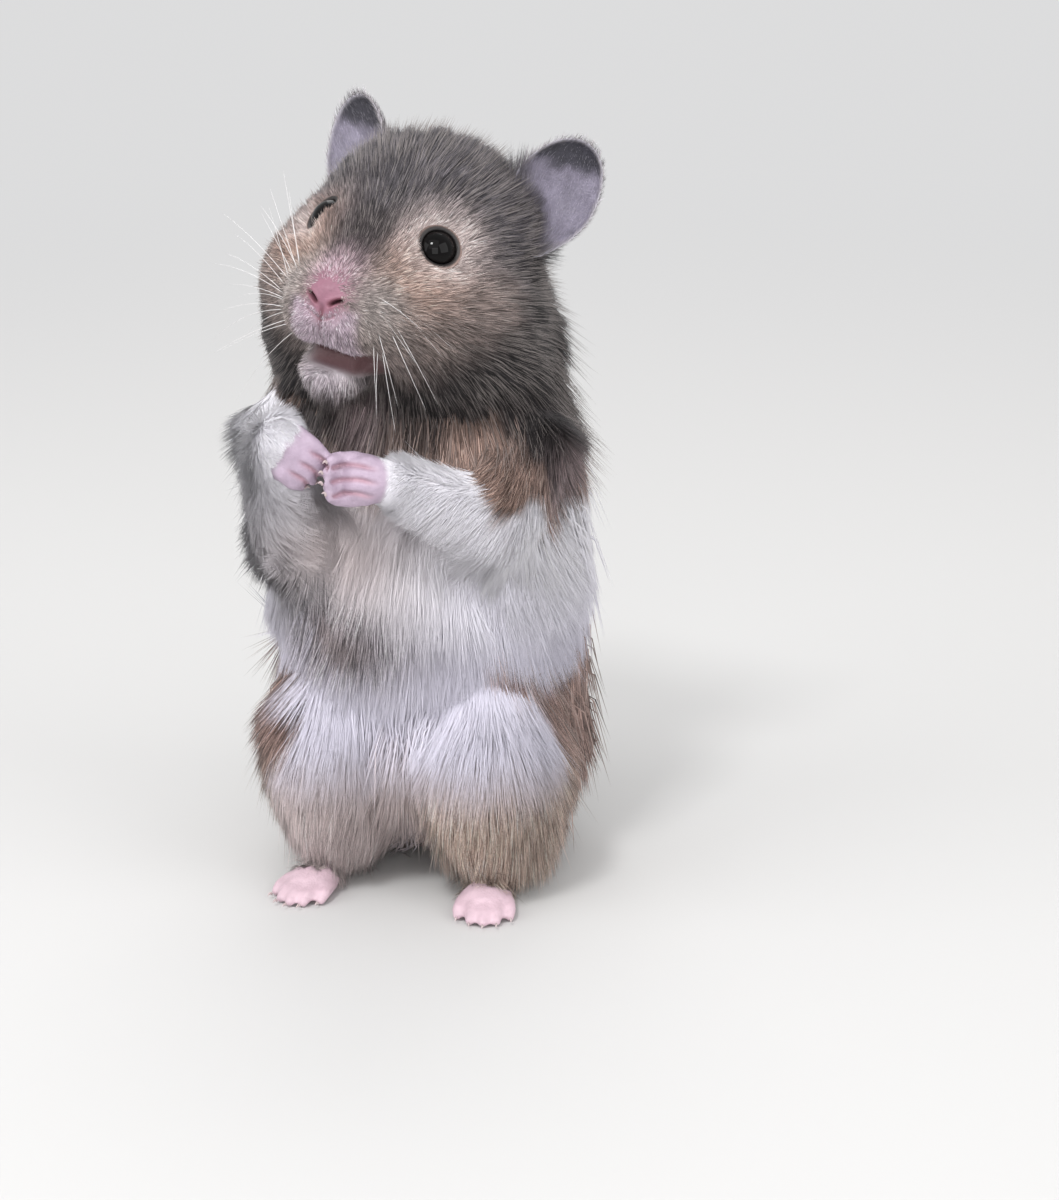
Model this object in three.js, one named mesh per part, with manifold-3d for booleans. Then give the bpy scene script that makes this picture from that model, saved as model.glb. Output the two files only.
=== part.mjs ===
// A Syrian hamster, life size, sitting up on its haunches with its forepaws held together.
// Millimetres, +Z up. The hamster faces -Y, so its left side is +X. The origin is on the floor, under the
// middle of the model. Every flesh solid reaches out to the tips of the coat.
//
// The animal is first described whole, as one smooth shape blended from muscle-like masses. A skin is drawn
// over each part of that shape from a spine inside it, and thin cuts divide neighbours.
import * as THREE from "three";
import { mergeVertices } from "three/addons/utils/BufferGeometryUtils.js";
import Module from "manifold-3d";

const wasm = await Module();
wasm.setup();

// ---------------------------------------------------------------- driving dimensions

const CUT = 0.3; // width of the cut between neighbours
const BODY_HALF_WIDTH = 29.6; // across the belly, coat included
const SIT_HEIGHT = 88; // floor to the top of the shoulders
const HEAD_PLACE = v(0.5, -18.7, 110.6); // the point midway between the eyes
const HEAD_TURN = { yaw: -9.5, pitch: -8.5, roll: 10.5 }; // degrees: to its right, nose up, left ear down
const EYE_APART = 9.2; // from the midline to an eye's centre
const EYE_RADIUS = 3.5;
const NOSE_REACH = 17.2; // from the eye line forward to the tip of the nose
const NOSE_DROP = 8.4; // from the eye line down to the middle of the nose
const NOSE_RADIUS = 2.9;
const MOUTH_DROP = 18.6; // from the eye line down to the middle of the open mouth
const EAR = { halfWidth: 7.2, halfHeight: 11, thickness: 0.9, cup: 3.4 }; // cup: how far its rim is rolled
const EARS = {
  left: { place: v(17.7, 20, 10.6), outward: 0.22 }, // in the frame of the head
  right: { place: v(-15.6, 20.5, 8.3), outward: 0.42 },
};
const LEGS_MEET = 2; // x of the line where the two knees meet
const FINGER = { count: 4, radius: 1.15, apart: 2.3 };
const TOE = { count: 5, radius: 1.15, apart: 1.9 };
const TAIL = { root: v(0, 29, 6), tip: v(0, 38.5, 1.9), rootRadius: 3.6, tipRadius: 2 };

const COLOURS = {
  grey: 0x6b625b,
  white: 0xd9d3d2,
  pink: 0xd9a8ac,
  ear: 0x9c93a0,
  eye: 0x080607,
  claw: 0xe6d6c8,
};

// ---------------------------------------------------------------- small helpers

function v(x, y, z) {
  return new THREE.Vector3(x, y, z);
}

const radians = THREE.MathUtils.degToRad;

// Distance to an ellipsoid with a radius on each axis, negative inside.
function egg(centre, radii) {
  const squared = radii.clone().multiply(radii);
  const least = Math.min(radii.x, radii.y, radii.z);
  return (p) => {
    const q = p.clone().sub(centre);
    const near = q.clone().divide(radii).length();
    const steep = q.divide(squared).length();
    return steep > 0 ? (near * (near - 1)) / steep : -least;
  };
}

// Distance to a rod with round ends that tapers from one radius to the other.
function limb(from, to, fromRadius, toRadius) {
  const along = to.clone().sub(from);
  const length = along.length();
  return (p) => {
    const share = THREE.MathUtils.clamp(p.clone().sub(from).dot(along) / (length * length), 0, 1);
    const axis = from.clone().addScaledVector(along, share);
    return p.distanceTo(axis) - THREE.MathUtils.lerp(fromRadius, toRadius, share);
  };
}

// Smooth union: shapes flow into each other over a fillet of about the given size.
function blend(fillet, ...shapes) {
  return (p) =>
    shapes
      .map((shape) => shape(p))
      .reduce((a, b) => {
        const near = Math.max(fillet - Math.abs(a - b), 0) / fillet;
        return Math.min(a, b) - (near * near * near * fillet) / 6;
      });
}

// A smooth hollow: the shape without the hole, with a rounded lip.
function hollow(lip, shape, hole) {
  const solid = (p) => -shape(p);
  const rim = blend(lip, solid, hole);
  return (p) => -rim(p);
}

// The same shape described in a turned and moved frame.
function placed(frame, shape) {
  const back = frame.clone().invert();
  return (p) => shape(p.clone().applyMatrix4(back));
}

// How a point finds the surface: it strides out by a share of the gap that is left, and once it is outside,
// it halves the last stride until the error is far below a hair.
const STRIDE = 0.6;
const LEAST_STRIDE = 0.05;
const HALVINGS = 18;

// A sphere drawn out along a spine. Each of its points slides along its own ray, away from the spine, until
// it meets the surface of the shape, or stops at the reach. A level of 0.3 draws the skin 0.3 mm outside.
function skinOver(shape, spine, { rings, spokes, reach = 60, level = 0, side = v(1, 0, 0) }) {
  const geometry = new THREE.SphereGeometry(1, spokes, rings);
  const points = geometry.getAttribute("position");
  const outside = (start, ray, distance) =>
    shape(start.clone().addScaledVector(ray, distance)) - level;
  for (let i = 0; i < points.count; i++) {
    const unit = v(points.getX(i), points.getY(i), points.getZ(i)).normalize();
    const share = THREE.MathUtils.clamp((1 - unit.y) / 2, 0, 1);
    const start = spine.getPoint(share);
    const tangent = spine.getTangent(share);
    const across = side.clone().addScaledVector(tangent, -side.dot(tangent)).normalize();
    const front = tangent.clone().cross(across);
    const ray = across
      .multiplyScalar(unit.x)
      .addScaledVector(tangent, -unit.y)
      .addScaledVector(front, unit.z);
    let inner = 0;
    let outer = 0;
    let gap = outside(start, ray, 0);
    while (gap < 0 && outer < reach) {
      inner = outer;
      outer = Math.min(outer + Math.max(-gap * STRIDE, LEAST_STRIDE), reach);
      gap = outside(start, ray, outer);
    }
    for (let step = 0; gap >= 0 && step < HALVINGS; step++) {
      const middle = (inner + outer) / 2;
      if (outside(start, ray, middle) < 0) inner = middle;
      else outer = middle;
    }
    const found = start.addScaledVector(ray, outer);
    points.setXYZ(i, found.x, found.y, found.z);
  }
  return solid(geometry);
}

// A closed three.js geometry as a manifold-3d solid. Points closer than this become one.
const SAME_POINT = 1e-4;
function solid(geometry) {
  const bare = geometry.clone();
  bare.deleteAttribute("normal");
  bare.deleteAttribute("uv");
  const merged = mergeVertices(bare, SAME_POINT);
  const vertProperties = new Float32Array(merged.getAttribute("position").array);
  const triVerts = new Uint32Array(merged.index.array);
  return new wasm.Manifold(new wasm.Mesh({ numProp: 3, vertProperties, triVerts }));
}

function geometryOf(made) {
  const mesh = made.getMesh();
  const geometry = new THREE.BufferGeometry();
  geometry.setAttribute("position", new THREE.BufferAttribute(mesh.vertProperties, 3));
  geometry.setIndex(new THREE.BufferAttribute(mesh.triVerts, 1));
  geometry.computeVertexNormals();
  return geometry;
}

// A large block that fills the side of a plane that its normal points to.
function halfSpace(point, normal) {
  const size = 200;
  const block = new THREE.BoxGeometry(size, size, size).translate(0, 0, size / 2);
  const turn = new THREE.Quaternion().setFromUnitVectors(v(0, 0, 1), normal.clone().normalize());
  return solid(block.applyQuaternion(turn).translate(point.x, point.y, point.z));
}

const line = (...points) =>
  points.length === 2 ? new THREE.LineCurve3(...points) : new THREE.CatmullRomCurve3(points);

// ---------------------------------------------------------------- the whole animal as one shape

const SIDES = { left: 1, right: -1 };
const bothSides = (form) => [form(1), form(-1)];

const headFrame = new THREE.Matrix4().compose(
  HEAD_PLACE,
  new THREE.Quaternion().setFromEuler(
    new THREE.Euler(
      radians(HEAD_TURN.pitch),
      radians(HEAD_TURN.roll),
      radians(HEAD_TURN.yaw),
      "ZXY",
    ),
  ),
  v(1, 1, 1),
);
const inHead = (x, y, z) => v(x, y, z).applyMatrix4(headFrame);
const headAcross = inHead(1, 0, 0).sub(HEAD_PLACE);
const headUp = inHead(0, 0, 1).sub(HEAD_PLACE);

const rump = egg(v(0, 8, 22), v(28.5, 25, 23));
const belly = egg(v(0.4, -4, 50), v(BODY_HALF_WIDTH, 26, 25));
const back = egg(v(0, 8, 50), v(26.5, 23.5, 42));
const chest = egg(v(-1, -1, 67), v(28, 23.5, 24));
const shoulders = egg(v(-1, 3, SIT_HEIGHT - 9), v(26, 21, 17));
const torso = blend(10, rump, belly, back, chest, shoulders);

// A folded leg: the haunch beside the rump, and in front of it the raised knee.
const haunch = (side) => egg(v(LEGS_MEET + 13.6 * side, -8, 19), v(14.9, 19, 20));
const knee = (side) => egg(v(LEGS_MEET + 13.2 * side, -17, 27.5), v(13.8, 13.5, 18.5));
const thighForm = (side) => blend(7, haunch(side), knee(side));

const eyePlace = (side) => v(EYE_APART * side, -1.6, 0.3);
const eyeLook = (side) => v(0.8 * side, -0.52, 0.3).normalize();

const skull = egg(v(0, 12.5, 0.8), v(16.8, 16.5, 15));
const bridge = limb(v(0, 4, -2.2), v(0, -10.4, -8.8), 12, 6.6);
const cheek = (side) => egg(v(11.6 * side, 6, -9.4), v(10, 13, 11.5));
const muzzleSide = (side) => limb(v(8.4 * side, 0, -9.6), v(3.8 * side, -10, -11.6), 9.6, 5.6);
const eyePit = (side) => {
  const beside = eyePlace(side).addScaledVector(eyeLook(side), 7);
  return egg(beside, v(5.6, 5.6, 5.6));
};
const mouthPit = egg(v(0, -11, -MOUTH_DROP), v(3.9, 4.4, 2.1));
const fullFace = blend(6, skull, bridge, ...bothSides(cheek), ...bothSides(muzzleSide));
const headShape = placed(
  headFrame,
  [eyePit(1), eyePit(-1), mouthPit].reduce((shape, pit) => hollow(1.5, shape, pit), fullFace),
);
const jawBone = limb(v(0, 1, -15.6), v(0, -4.5, -21.4), 9, 5);
const chin = egg(v(0, -6.6, -22.4), v(5.4, 4.6, 4.2));
const jawShape = placed(headFrame, hollow(1.5, blend(3, jawBone, chin), mouthPit));

// The neck is short and thick, and the long fur of the cheeks hangs down it on to the shoulders.
const neckForm = limb(v(-1, 4, 80), inHead(0, 14, -3), 20, 17);
const scruff = egg(v(3, 6, 91), v(20.5, 16.5, 17));
const ruff = (side) => limb(inHead(10 * side, 7, -11), v(15.5 * side - 1, -5, 80), 11, 12);
const bodyAlone = blend(8, torso, neckForm, scruff, ...bothSides(ruff), headShape);
const whole = blend(5, bodyAlone, ...bothSides(thighForm));

// ---------------------------------------------------------------- planes and regions that part the body

const offPlane = ({ point, normal }, p) => p.clone().sub(point).dot(normal);
const MARGIN = 8; // skins run this far past a plane, so that the cut leaves a crisp edge

// The neck is the wedge between a plane under the nape and one behind the jaw.
const neckBase = { point: v(-1, 0, 85), normal: v(0, -0.42, 0.91).normalize() };
const neckTop = { point: v(-1, -4, 95), normal: v(0, -0.5, 0.87).normalize() };
const above = ({ point, normal }) => halfSpace(point, normal);
const below = ({ point, normal }) =>
  halfSpace(point.clone().addScaledVector(normal, CUT), normal.clone().negate());
const underPlane = (shape, plane) => (p) => Math.max(shape(p), offPlane(plane, p) - MARGIN);
const overPlane = (shape, plane) => (p) => Math.max(shape(p), -offPlane(plane, p) - MARGIN);

// The part of the haunches that belongs to one leg. The two legs meet at the middle of the belly.
const legReach = (side) => egg(v(LEGS_MEET + 13 * side, -12, 21), v(18, 21, 26));
const legRegion = (side) => (p) => Math.max(legReach(side)(p), CUT / 2 - (p.x - LEGS_MEET) * side);

// ---------------------------------------------------------------- limbs

const ARMS = {
  left: {
    shoulder: v(19, -8, 77),
    elbow: v(18.6, -20.5, 67.5),
    wrist: v(5, -34.4, 75.8),
    bare: 0.15,
    reach: v(-0.96, -0.2, 0.02),
    across: v(0.1, -0.2, -0.96),
  },
  right: {
    shoulder: v(-19, -12, 77),
    elbow: v(-15.4, -23, 62.5),
    wrist: v(-12.7, -36.6, 82.8),
    bare: 0.04,
    reach: v(0.72, -0.1, -0.68),
    across: v(-0.62, -0.3, -0.7),
  },
};

const upperArm = ({ shoulder, elbow }) => limb(shoulder, elbow, 10.5, 8.8);
// The fur of the sleeve stops short of the wrist by a share of the forearm.
const cuff = ({ elbow, wrist, bare }) => wrist.clone().lerp(elbow, bare);
const forearm = (arm) => limb(arm.elbow, cuff(arm), 8.2, 4.9);

// A frame at the wrist: x across the knuckles, y towards the fingers, z out of the back of the hand.
function handFrame({ wrist, reach, across }) {
  const y = reach.clone().normalize();
  const x = across.clone().addScaledVector(y, -across.dot(y)).normalize();
  return new THREE.Matrix4().makeBasis(x, y, x.clone().cross(y)).setPosition(wrist);
}

// A digit is a chain of two limbs through three joints. Its radius shrinks towards the tip.
const DIGIT_TIP = 0.72; // radius at the tip, as a share of the radius at the root
function digit([root, knuckle, tip], radius) {
  const end = limb(knuckle, tip, radius, radius * DIGIT_TIP);
  const shape = blend(0.8, limb(root, knuckle, radius, radius), end);
  const spine = line(root, knuckle, tip);
  return (level) => skinOver(shape, spine, { rings: 5, spokes: 6, reach: 3, level });
}

// Whole steps to both sides of the middle, such as -1.5, -0.5, 0.5, 1.5.
const spread = (count) => Array.from({ length: count }, (_, i) => i - (count - 1) / 2);

const inFrame = (frame, joints) => joints.map((joint) => joint.applyMatrix4(frame));

// The fingers curl down over the palm, and the middle ones reach furthest.
const fingerJoints = (frame) =>
  spread(FINGER.count).map((place) => {
    const across = place * FINGER.apart;
    const shorter = 0.3 * place * place;
    return inFrame(frame, [
      v(across * 0.85, 4 - shorter, 0.3),
      v(across, 7.8 - shorter, 0.4),
      v(across * 0.8, 9.3 - shorter, -2.4),
    ]);
  });

function handParts(arm) {
  const frame = handFrame(arm);
  const wristShape = limb(v(0, -0.5, 0), v(0, 3, 0), 2.8, 2.6);
  const palm = placed(frame, blend(1.5, egg(v(0, 3.2, -0.3), v(4.2, 3.9, 2.6)), wristShape));
  const spine = line(...inFrame(frame, [v(0, -0.5, 0), v(0, 4, 0)]));
  return {
    palm: (level) => skinOver(palm, spine, { rings: 7, spokes: 10, reach: 9, level }),
    digits: fingerJoints(frame),
    digitRadius: FINGER.radius,
  };
}

const FEET = {
  left: { heel: v(14, -8.5, 0), turn: 12 },
  right: { heel: v(-10.5, -8.5, 0), turn: -12 },
};

// A frame on the floor under the heel: y towards the toes, z up.
function footFrame({ heel, turn }) {
  return new THREE.Matrix4().makeRotationZ(radians(180 + turn)).setPosition(heel);
}

const toeJoints = (frame) =>
  spread(TOE.count).map((place) => {
    const across = place * TOE.apart;
    const shorter = 0.5 * place * place;
    return inFrame(frame, [
      v(across * 0.9, 14.5 - shorter * 0.7, 1.7),
      v(across * 1.1, 18.2 - shorter, 2),
      v(across * 1.15, 21.2 - shorter * 1.4, 0.8),
    ]);
  });

function footParts(foot) {
  const frame = footFrame(foot);
  const heel = limb(v(0, 1, 3.2), v(0, 9, 2.6), 3.5, 3);
  const sole = placed(frame, blend(3, heel, egg(v(0, 13, 2.1), v(4.5, 5, 2.5))));
  const spine = line(...inFrame(frame, [v(0, 1.5, 2.8), v(0, 13, 2.1)]));
  return {
    palm: (level) => skinOver(sole, spine, { rings: 9, spokes: 10, reach: 9, level }),
    digits: toeJoints(frame),
    digitRadius: TOE.radius,
  };
}

// A paw and its digits, joined into one piece.
const pawSolid = ({ palm, digits, digitRadius }, level = 0) =>
  digits.reduce((made, joints) => made.add(digit(joints, digitRadius)(level)), palm(level));

const armSkin = (shape, from, to, level = 0) =>
  skinOver(shape, line(from, to), { rings: 9, spokes: 12, reach: 14, level });

// ---------------------------------------------------------------- parts

function makeTorso() {
  const spine = line(v(0, 8, 14), v(0, 2, 42), v(-1, 2, 66), v(-1, 4, 88));
  const skin = skinOver(underPlane(bodyAlone, neckBase), spine, { rings: 18, spokes: 24 });
  return skin.subtract(above(neckBase));
}

function makeNeck() {
  const spine = line(v(-1, 2, 80), inHead(0, 12, -4));
  const wedge = overPlane(underPlane(whole, neckTop), neckBase);
  const skin = skinOver(wedge, spine, { rings: 10, spokes: 24 });
  return skin.subtract(below(neckBase)).subtract(above(neckTop));
}

function makeHead(level) {
  const spine = line(inHead(0, 13, 0), inHead(0, 2, -3), inHead(0, -10.5, -8.8));
  const skin = { rings: 22, spokes: 24, level, side: headAcross };
  return skinOver(overPlane(whole, neckTop), spine, skin).subtract(below(neckTop));
}

function makeJaw(level) {
  const spine = line(inHead(0, 0, -16.5), inHead(0, -6.6, -22.2));
  return skinOver(jawShape, spine, { rings: 9, spokes: 12, level, side: headAcross });
}

// The skin of a leg, or with a level the room that it takes out of the trunk.
function makeThigh(side, level) {
  const region = legRegion(side);
  const shape = level ? region : (p) => Math.max(whole(p), region(p));
  const middle = LEGS_MEET + 13 * side;
  const spine = line(v(middle, -8, 13), v(middle, -13, 27));
  return skinOver(shape, spine, { rings: 12, spokes: 14, level });
}

// An ear is a cupped oval leaf, rolled forward round its rim, narrower below, with rounded faces.
const EAR_NARROWING = 0.2;
const EAR_ROUNDING = 0.4;
function makeEar(name) {
  const side = SIDES[name];
  const leaf = new THREE.SphereGeometry(1, 14, 8);
  const points = leaf.getAttribute("position");
  for (let i = 0; i < points.count; i++) {
    const x = points.getX(i);
    const y = points.getY(i);
    const z = points.getZ(i);
    const narrow = 1 - EAR_NARROWING * Math.max(-z, 0);
    const half = (EAR.thickness / 2) * Math.sign(y) * Math.abs(y) ** EAR_ROUNDING;
    const forward = EAR.cup * (x * x + z * z);
    points.setXYZ(i, EAR.halfWidth * x * narrow, half - forward, EAR.halfHeight * z);
  }
  const backwards = v(-EARS[name].outward * side, 0.95, -0.1).normalize();
  const up = v(0.36 * side, 0.1, 0.93);
  const across = new THREE.Vector3().crossVectors(backwards, up).normalize();
  const tall = new THREE.Vector3().crossVectors(across, backwards);
  const frame = new THREE.Matrix4().makeBasis(across, backwards, tall).setPosition(EARS[name].place);
  return solid(leaf.applyMatrix4(frame).applyMatrix4(headFrame));
}

function makeEye(side, radius) {
  const ball = new THREE.SphereGeometry(radius, 12, 8);
  const place = eyePlace(side);
  return solid(ball.translate(place.x, place.y, place.z).applyMatrix4(headFrame));
}

const nosePlace = v(0, NOSE_RADIUS - 0.5 - NOSE_REACH, -NOSE_DROP);
const noseShape = placed(headFrame, egg(nosePlace, v(3.3, NOSE_RADIUS, NOSE_RADIUS)));
function makeNose(level) {
  const spine = line(inHead(-0.8, nosePlace.y, nosePlace.z), inHead(0.8, nosePlace.y, nosePlace.z));
  return skinOver(noseShape, spine, { rings: 7, spokes: 10, level, side: headUp });
}

function makeTail(level) {
  const shape = limb(TAIL.root, TAIL.tip, TAIL.rootRadius, TAIL.tipRadius);
  return skinOver(shape, line(TAIL.root, TAIL.tip), { rings: 7, spokes: 10, level });
}

// ---------------------------------------------------------------- the model

const hamster = new THREE.Group();

function add(name, made, colour, roughness = 0.9) {
  const material = new THREE.MeshStandardMaterial({ color: colour, roughness, metalness: 0 });
  const mesh = new THREE.Mesh(geometryOf(made), material);
  mesh.name = name;
  hamster.add(mesh);
}

// A claw is a small blunt cone that stands just off the tip of its digit. It follows the last joint, with
// that joint's slope times the droop.
const CLAW_PROFILE = [
  [0, 0],
  [0.45, 0],
  [0.35, 1],
  [0, 1.9],
].map(([across, along]) => new THREE.Vector2(across, along));

function addClaw(name, [, knuckle, tip], radius, droop) {
  const material = new THREE.MeshStandardMaterial({ color: COLOURS.claw, roughness: 0.4 });
  const claw = new THREE.Mesh(new THREE.LatheGeometry(CLAW_PROFILE, 6), material);
  const along = tip.clone().sub(knuckle).multiply(v(1, 1, droop)).normalize();
  claw.quaternion.setFromUnitVectors(v(0, 1, 0), along);
  claw.position.copy(tip).addScaledVector(along, radius * DIGIT_TIP + CUT);
  claw.name = name;
  hamster.add(claw);
}

const floor = halfSpace(v(0, 0, 0), v(0, 0, -1));
const FINGER_DROOP = 1;
const TOE_DROOP = 0.1; // toe claws lie nearly level
const GLOSS = { eye: 0.05, nose: 0.4, paw: 0.5 }; // roughness of what isn't furred

let trunk = makeTorso().subtract(makeTail(CUT));
let head = makeHead(0).subtract(makeJaw(CUT)).subtract(makeNose(CUT));
let neck = makeNeck().subtract(makeJaw(CUT));

for (const [name, side] of Object.entries(SIDES)) {
  const arm = ARMS[name];
  const hand = handParts(arm);
  const foot = footParts(FEET[name]);
  const thigh = makeThigh(side, 0).subtract(foot.palm(CUT)).subtract(floor);
  const upper = (level) => armSkin(upperArm(arm), arm.shoulder, arm.elbow, level);
  const fore = (level) => armSkin(forearm(arm), arm.elbow, cuff(arm), level);

  head = head.subtract(makeEye(side, EYE_RADIUS + CUT));
  neck = neck.subtract(upper(CUT)).subtract(fore(CUT));
  trunk = trunk.subtract(upper(CUT)).subtract(fore(CUT)).subtract(makeThigh(side, CUT));
  trunk = trunk.subtract(foot.palm(CUT));

  add("ear_" + name, makeEar(name).subtract(makeHead(CUT)), COLOURS.ear);
  add("eye_" + name, makeEye(side, EYE_RADIUS), COLOURS.eye, GLOSS.eye);
  add("upper_arm_" + name, upper(0), COLOURS.white);
  add("forearm_" + name, fore(0).subtract(upper(CUT)), COLOURS.white);
  add("hand_" + name, pawSolid(hand).subtract(fore(CUT)), COLOURS.pink, GLOSS.paw);
  add("thigh_" + name, thigh, COLOURS.white);
  add("foot_" + name, pawSolid(foot).subtract(floor), COLOURS.pink, GLOSS.paw);
  hand.digits.forEach((joints, i) => {
    addClaw(`finger_claw_${name}_${i + 1}`, joints, hand.digitRadius, FINGER_DROOP);
  });
  foot.digits.forEach((joints, i) => {
    addClaw(`toe_claw_${name}_${i + 1}`, joints, foot.digitRadius, TOE_DROOP);
  });
}
add("trunk", trunk.subtract(floor), COLOURS.white);
add("neck", neck, COLOURS.grey);
add("head", head, COLOURS.grey);
add("lower_jaw", makeJaw(0), COLOURS.white);
add("nose", makeNose(0), COLOURS.pink, GLOSS.nose);
add("tail", makeTail(0).subtract(floor), COLOURS.pink);

// The origin goes to the middle of the model's box, on the floor.
const box = new THREE.Box3().setFromObject(hamster);
const middle = box.getCenter(v(0, 0, 0));
hamster.position.set(-middle.x, -middle.y, -box.min.z);

export default hamster;
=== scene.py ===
# %% [markdown]
# # A Syrian hamster, sitting up
# This lesson dresses a still, life-size hamster. The solids come from the CAD frame: they give the place
# and size of every part, out to the tips of the coat. Here they get one skin, a coat of solid tufts,
# eyes, claws and whiskers. Everything is in metres, +Z is up, and the hamster faces -Y.

import math

import bpy
import numpy as np
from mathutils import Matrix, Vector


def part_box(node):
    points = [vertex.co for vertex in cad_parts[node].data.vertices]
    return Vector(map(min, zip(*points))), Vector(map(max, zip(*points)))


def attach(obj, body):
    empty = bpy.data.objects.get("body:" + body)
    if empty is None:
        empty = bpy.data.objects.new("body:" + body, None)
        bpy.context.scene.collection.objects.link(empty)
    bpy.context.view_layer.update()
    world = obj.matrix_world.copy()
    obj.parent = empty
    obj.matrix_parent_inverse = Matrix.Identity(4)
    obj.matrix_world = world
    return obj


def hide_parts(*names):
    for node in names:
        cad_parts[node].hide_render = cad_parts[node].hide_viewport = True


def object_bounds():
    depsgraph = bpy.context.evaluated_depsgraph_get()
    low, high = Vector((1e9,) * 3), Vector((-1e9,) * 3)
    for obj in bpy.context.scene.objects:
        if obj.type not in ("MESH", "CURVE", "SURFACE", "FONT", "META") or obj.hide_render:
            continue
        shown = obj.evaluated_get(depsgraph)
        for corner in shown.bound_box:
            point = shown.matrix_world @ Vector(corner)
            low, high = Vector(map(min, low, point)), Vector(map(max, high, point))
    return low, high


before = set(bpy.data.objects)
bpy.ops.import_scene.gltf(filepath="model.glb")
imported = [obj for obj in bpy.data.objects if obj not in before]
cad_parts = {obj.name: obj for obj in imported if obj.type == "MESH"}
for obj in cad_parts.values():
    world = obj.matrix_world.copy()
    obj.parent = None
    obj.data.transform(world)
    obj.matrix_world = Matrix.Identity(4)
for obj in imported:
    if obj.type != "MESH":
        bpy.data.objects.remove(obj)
MM = 0.001
cad_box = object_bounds()
cad_low, cad_high = (np.array(corner) for corner in cad_box)
print("frame", len(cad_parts), "nodes", np.round((cad_high - cad_low) / MM, 1), "mm")

# %% [markdown]
# ## Camera, floor and light
# The camera looks down a little, from the hamster's left. A long lens keeps the head in proportion to the
# feet. The animal stands left of the middle of the picture, so the camera aims beside it.

# %% The camera
CAMERA_AZIMUTH = math.radians(15)
CAMERA_PITCH = math.radians(17.4)
CAMERA_DISTANCE = 497 * MM
AIM_BESIDE, AIM_ABOVE = 16.93 * MM, 43.8 * MM
LENS_MM = 85.92


def view_axes(azimuth, pitch):
    """Right, up and backward directions of a camera that stands round the model and looks down at it."""
    right = np.array([math.cos(azimuth), math.sin(azimuth), 0])
    level_back = np.array([math.sin(azimuth), -math.cos(azimuth), 0])
    backward = level_back * math.cos(pitch) + np.array([0, 0, math.sin(pitch)])
    return right, np.cross(backward, right), backward


def new_object(name, data):
    thing = bpy.data.objects.new(name, data)
    bpy.context.scene.collection.objects.link(thing)
    return thing


def add_camera():
    right, up, backward = view_axes(CAMERA_AZIMUTH, CAMERA_PITCH)
    data = bpy.data.cameras.new("camera")
    data.lens = LENS_MM
    data.clip_start = 10 * MM
    camera = new_object("camera", data)
    camera.location = right * AIM_BESIDE + up * AIM_ABOVE + backward * CAMERA_DISTANCE
    camera.rotation_euler = (math.pi / 2 - CAMERA_PITCH, 0, CAMERA_AZIMUTH)
    bpy.context.scene.camera = camera
    print("camera at", np.round(np.array(camera.location) / MM, 1), "mm")


bpy.context.scene.view_settings.view_transform = "Standard"
add_camera()

# %% [markdown]
# A wide pale floor catches the soft shadow. It could end in a curved backdrop, but fading the floor itself
# into a plain pale tone needs no second piece. Large soft lamps and a pale sky light the animal at a plain
# level, so that a colour comes out about as it is written.

# %% The floor and the lamps
FLOOR_SIDE = 8.0
FLOOR_DROP = 0.1 * MM  # just under the soles, so that the two surfaces never fight
FLOOR_COLOUR = (0.62, 0.615, 0.61, 1)
BACKDROP_COLOUR = (0.72, 0.72, 0.725, 1)
FADE_START, FADE_END = 0.12, 0.75  # metres from the middle between which the floor fades into the backdrop
SKY_STRENGTH = 0.50
BACKDROP_LIGHT = 0.5  # the share of the backdrop's glow that falls on the animal as light
# name: azimuth and pitch in degrees, distance and side in metres, power in watts
LAMPS = {
    "key_lamp": (8, 48, 0.9, 0.8, 1.4), "front_lamp": (18, 14, 1.1, 0.6, 2.4),
    "left_lamp": (-50, 24, 1.0, 0.8, 3.6), "right_lamp": (70, 24, 1.0, 0.8, 3.6),
    "back_lamp": (190, 45, 0.9, 0.6, 2.2), "eye_light": (-6, 52, 0.8, 0.13, 2.6),
}


def set_inputs(tree, node, values):
    """Give inputs of a node, by name or number, plain values or links from other nodes' outputs."""
    for key, value in values.items():
        if isinstance(value, bpy.types.NodeSocket):
            tree.links.new(value, node.inputs[key])
        else:
            node.inputs[key].default_value = value


def add_node(tree, kind, values=None):
    node = tree.nodes.new("ShaderNode" + kind)
    set_inputs(tree, node, values or {})
    return node


def principled(name, values):
    """A new material, its node tree and its Principled shader, with values for the shader's inputs."""
    material = bpy.data.materials.new(name)
    material.use_nodes = True
    shader = material.node_tree.nodes["Principled BSDF"]
    set_inputs(material.node_tree, shader, values)
    return material, material.node_tree, shader


def object_place(tree):
    return add_node(tree, "TexCoord").outputs["Object"]


def mesh_object(name, points, faces, uv=None):
    """A smooth mesh object from arrays: points (n, 3) in metres, faces as rows of point numbers, and if
    given the OFBake places of the faces' corners."""
    points, faces = np.asarray(points), np.asarray(faces)
    mesh = bpy.data.meshes.new(name)
    mesh.vertices.add(len(points))
    mesh.vertices.foreach_set("co", np.ravel(points))
    mesh.loops.add(faces.size)
    mesh.loops.foreach_set("vertex_index", np.ravel(faces))
    mesh.polygons.add(len(faces))
    mesh.polygons.foreach_set("loop_start", np.arange(len(faces)) * faces.shape[1])
    mesh.polygons.foreach_set("use_smooth", np.ones(len(faces), bool))
    if uv is not None:
        mesh.uv_layers.new(name="OFBake").data.foreach_set("uv", np.ravel(uv))
    mesh.update(calc_edges=True)
    return new_object(name, mesh)


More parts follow.
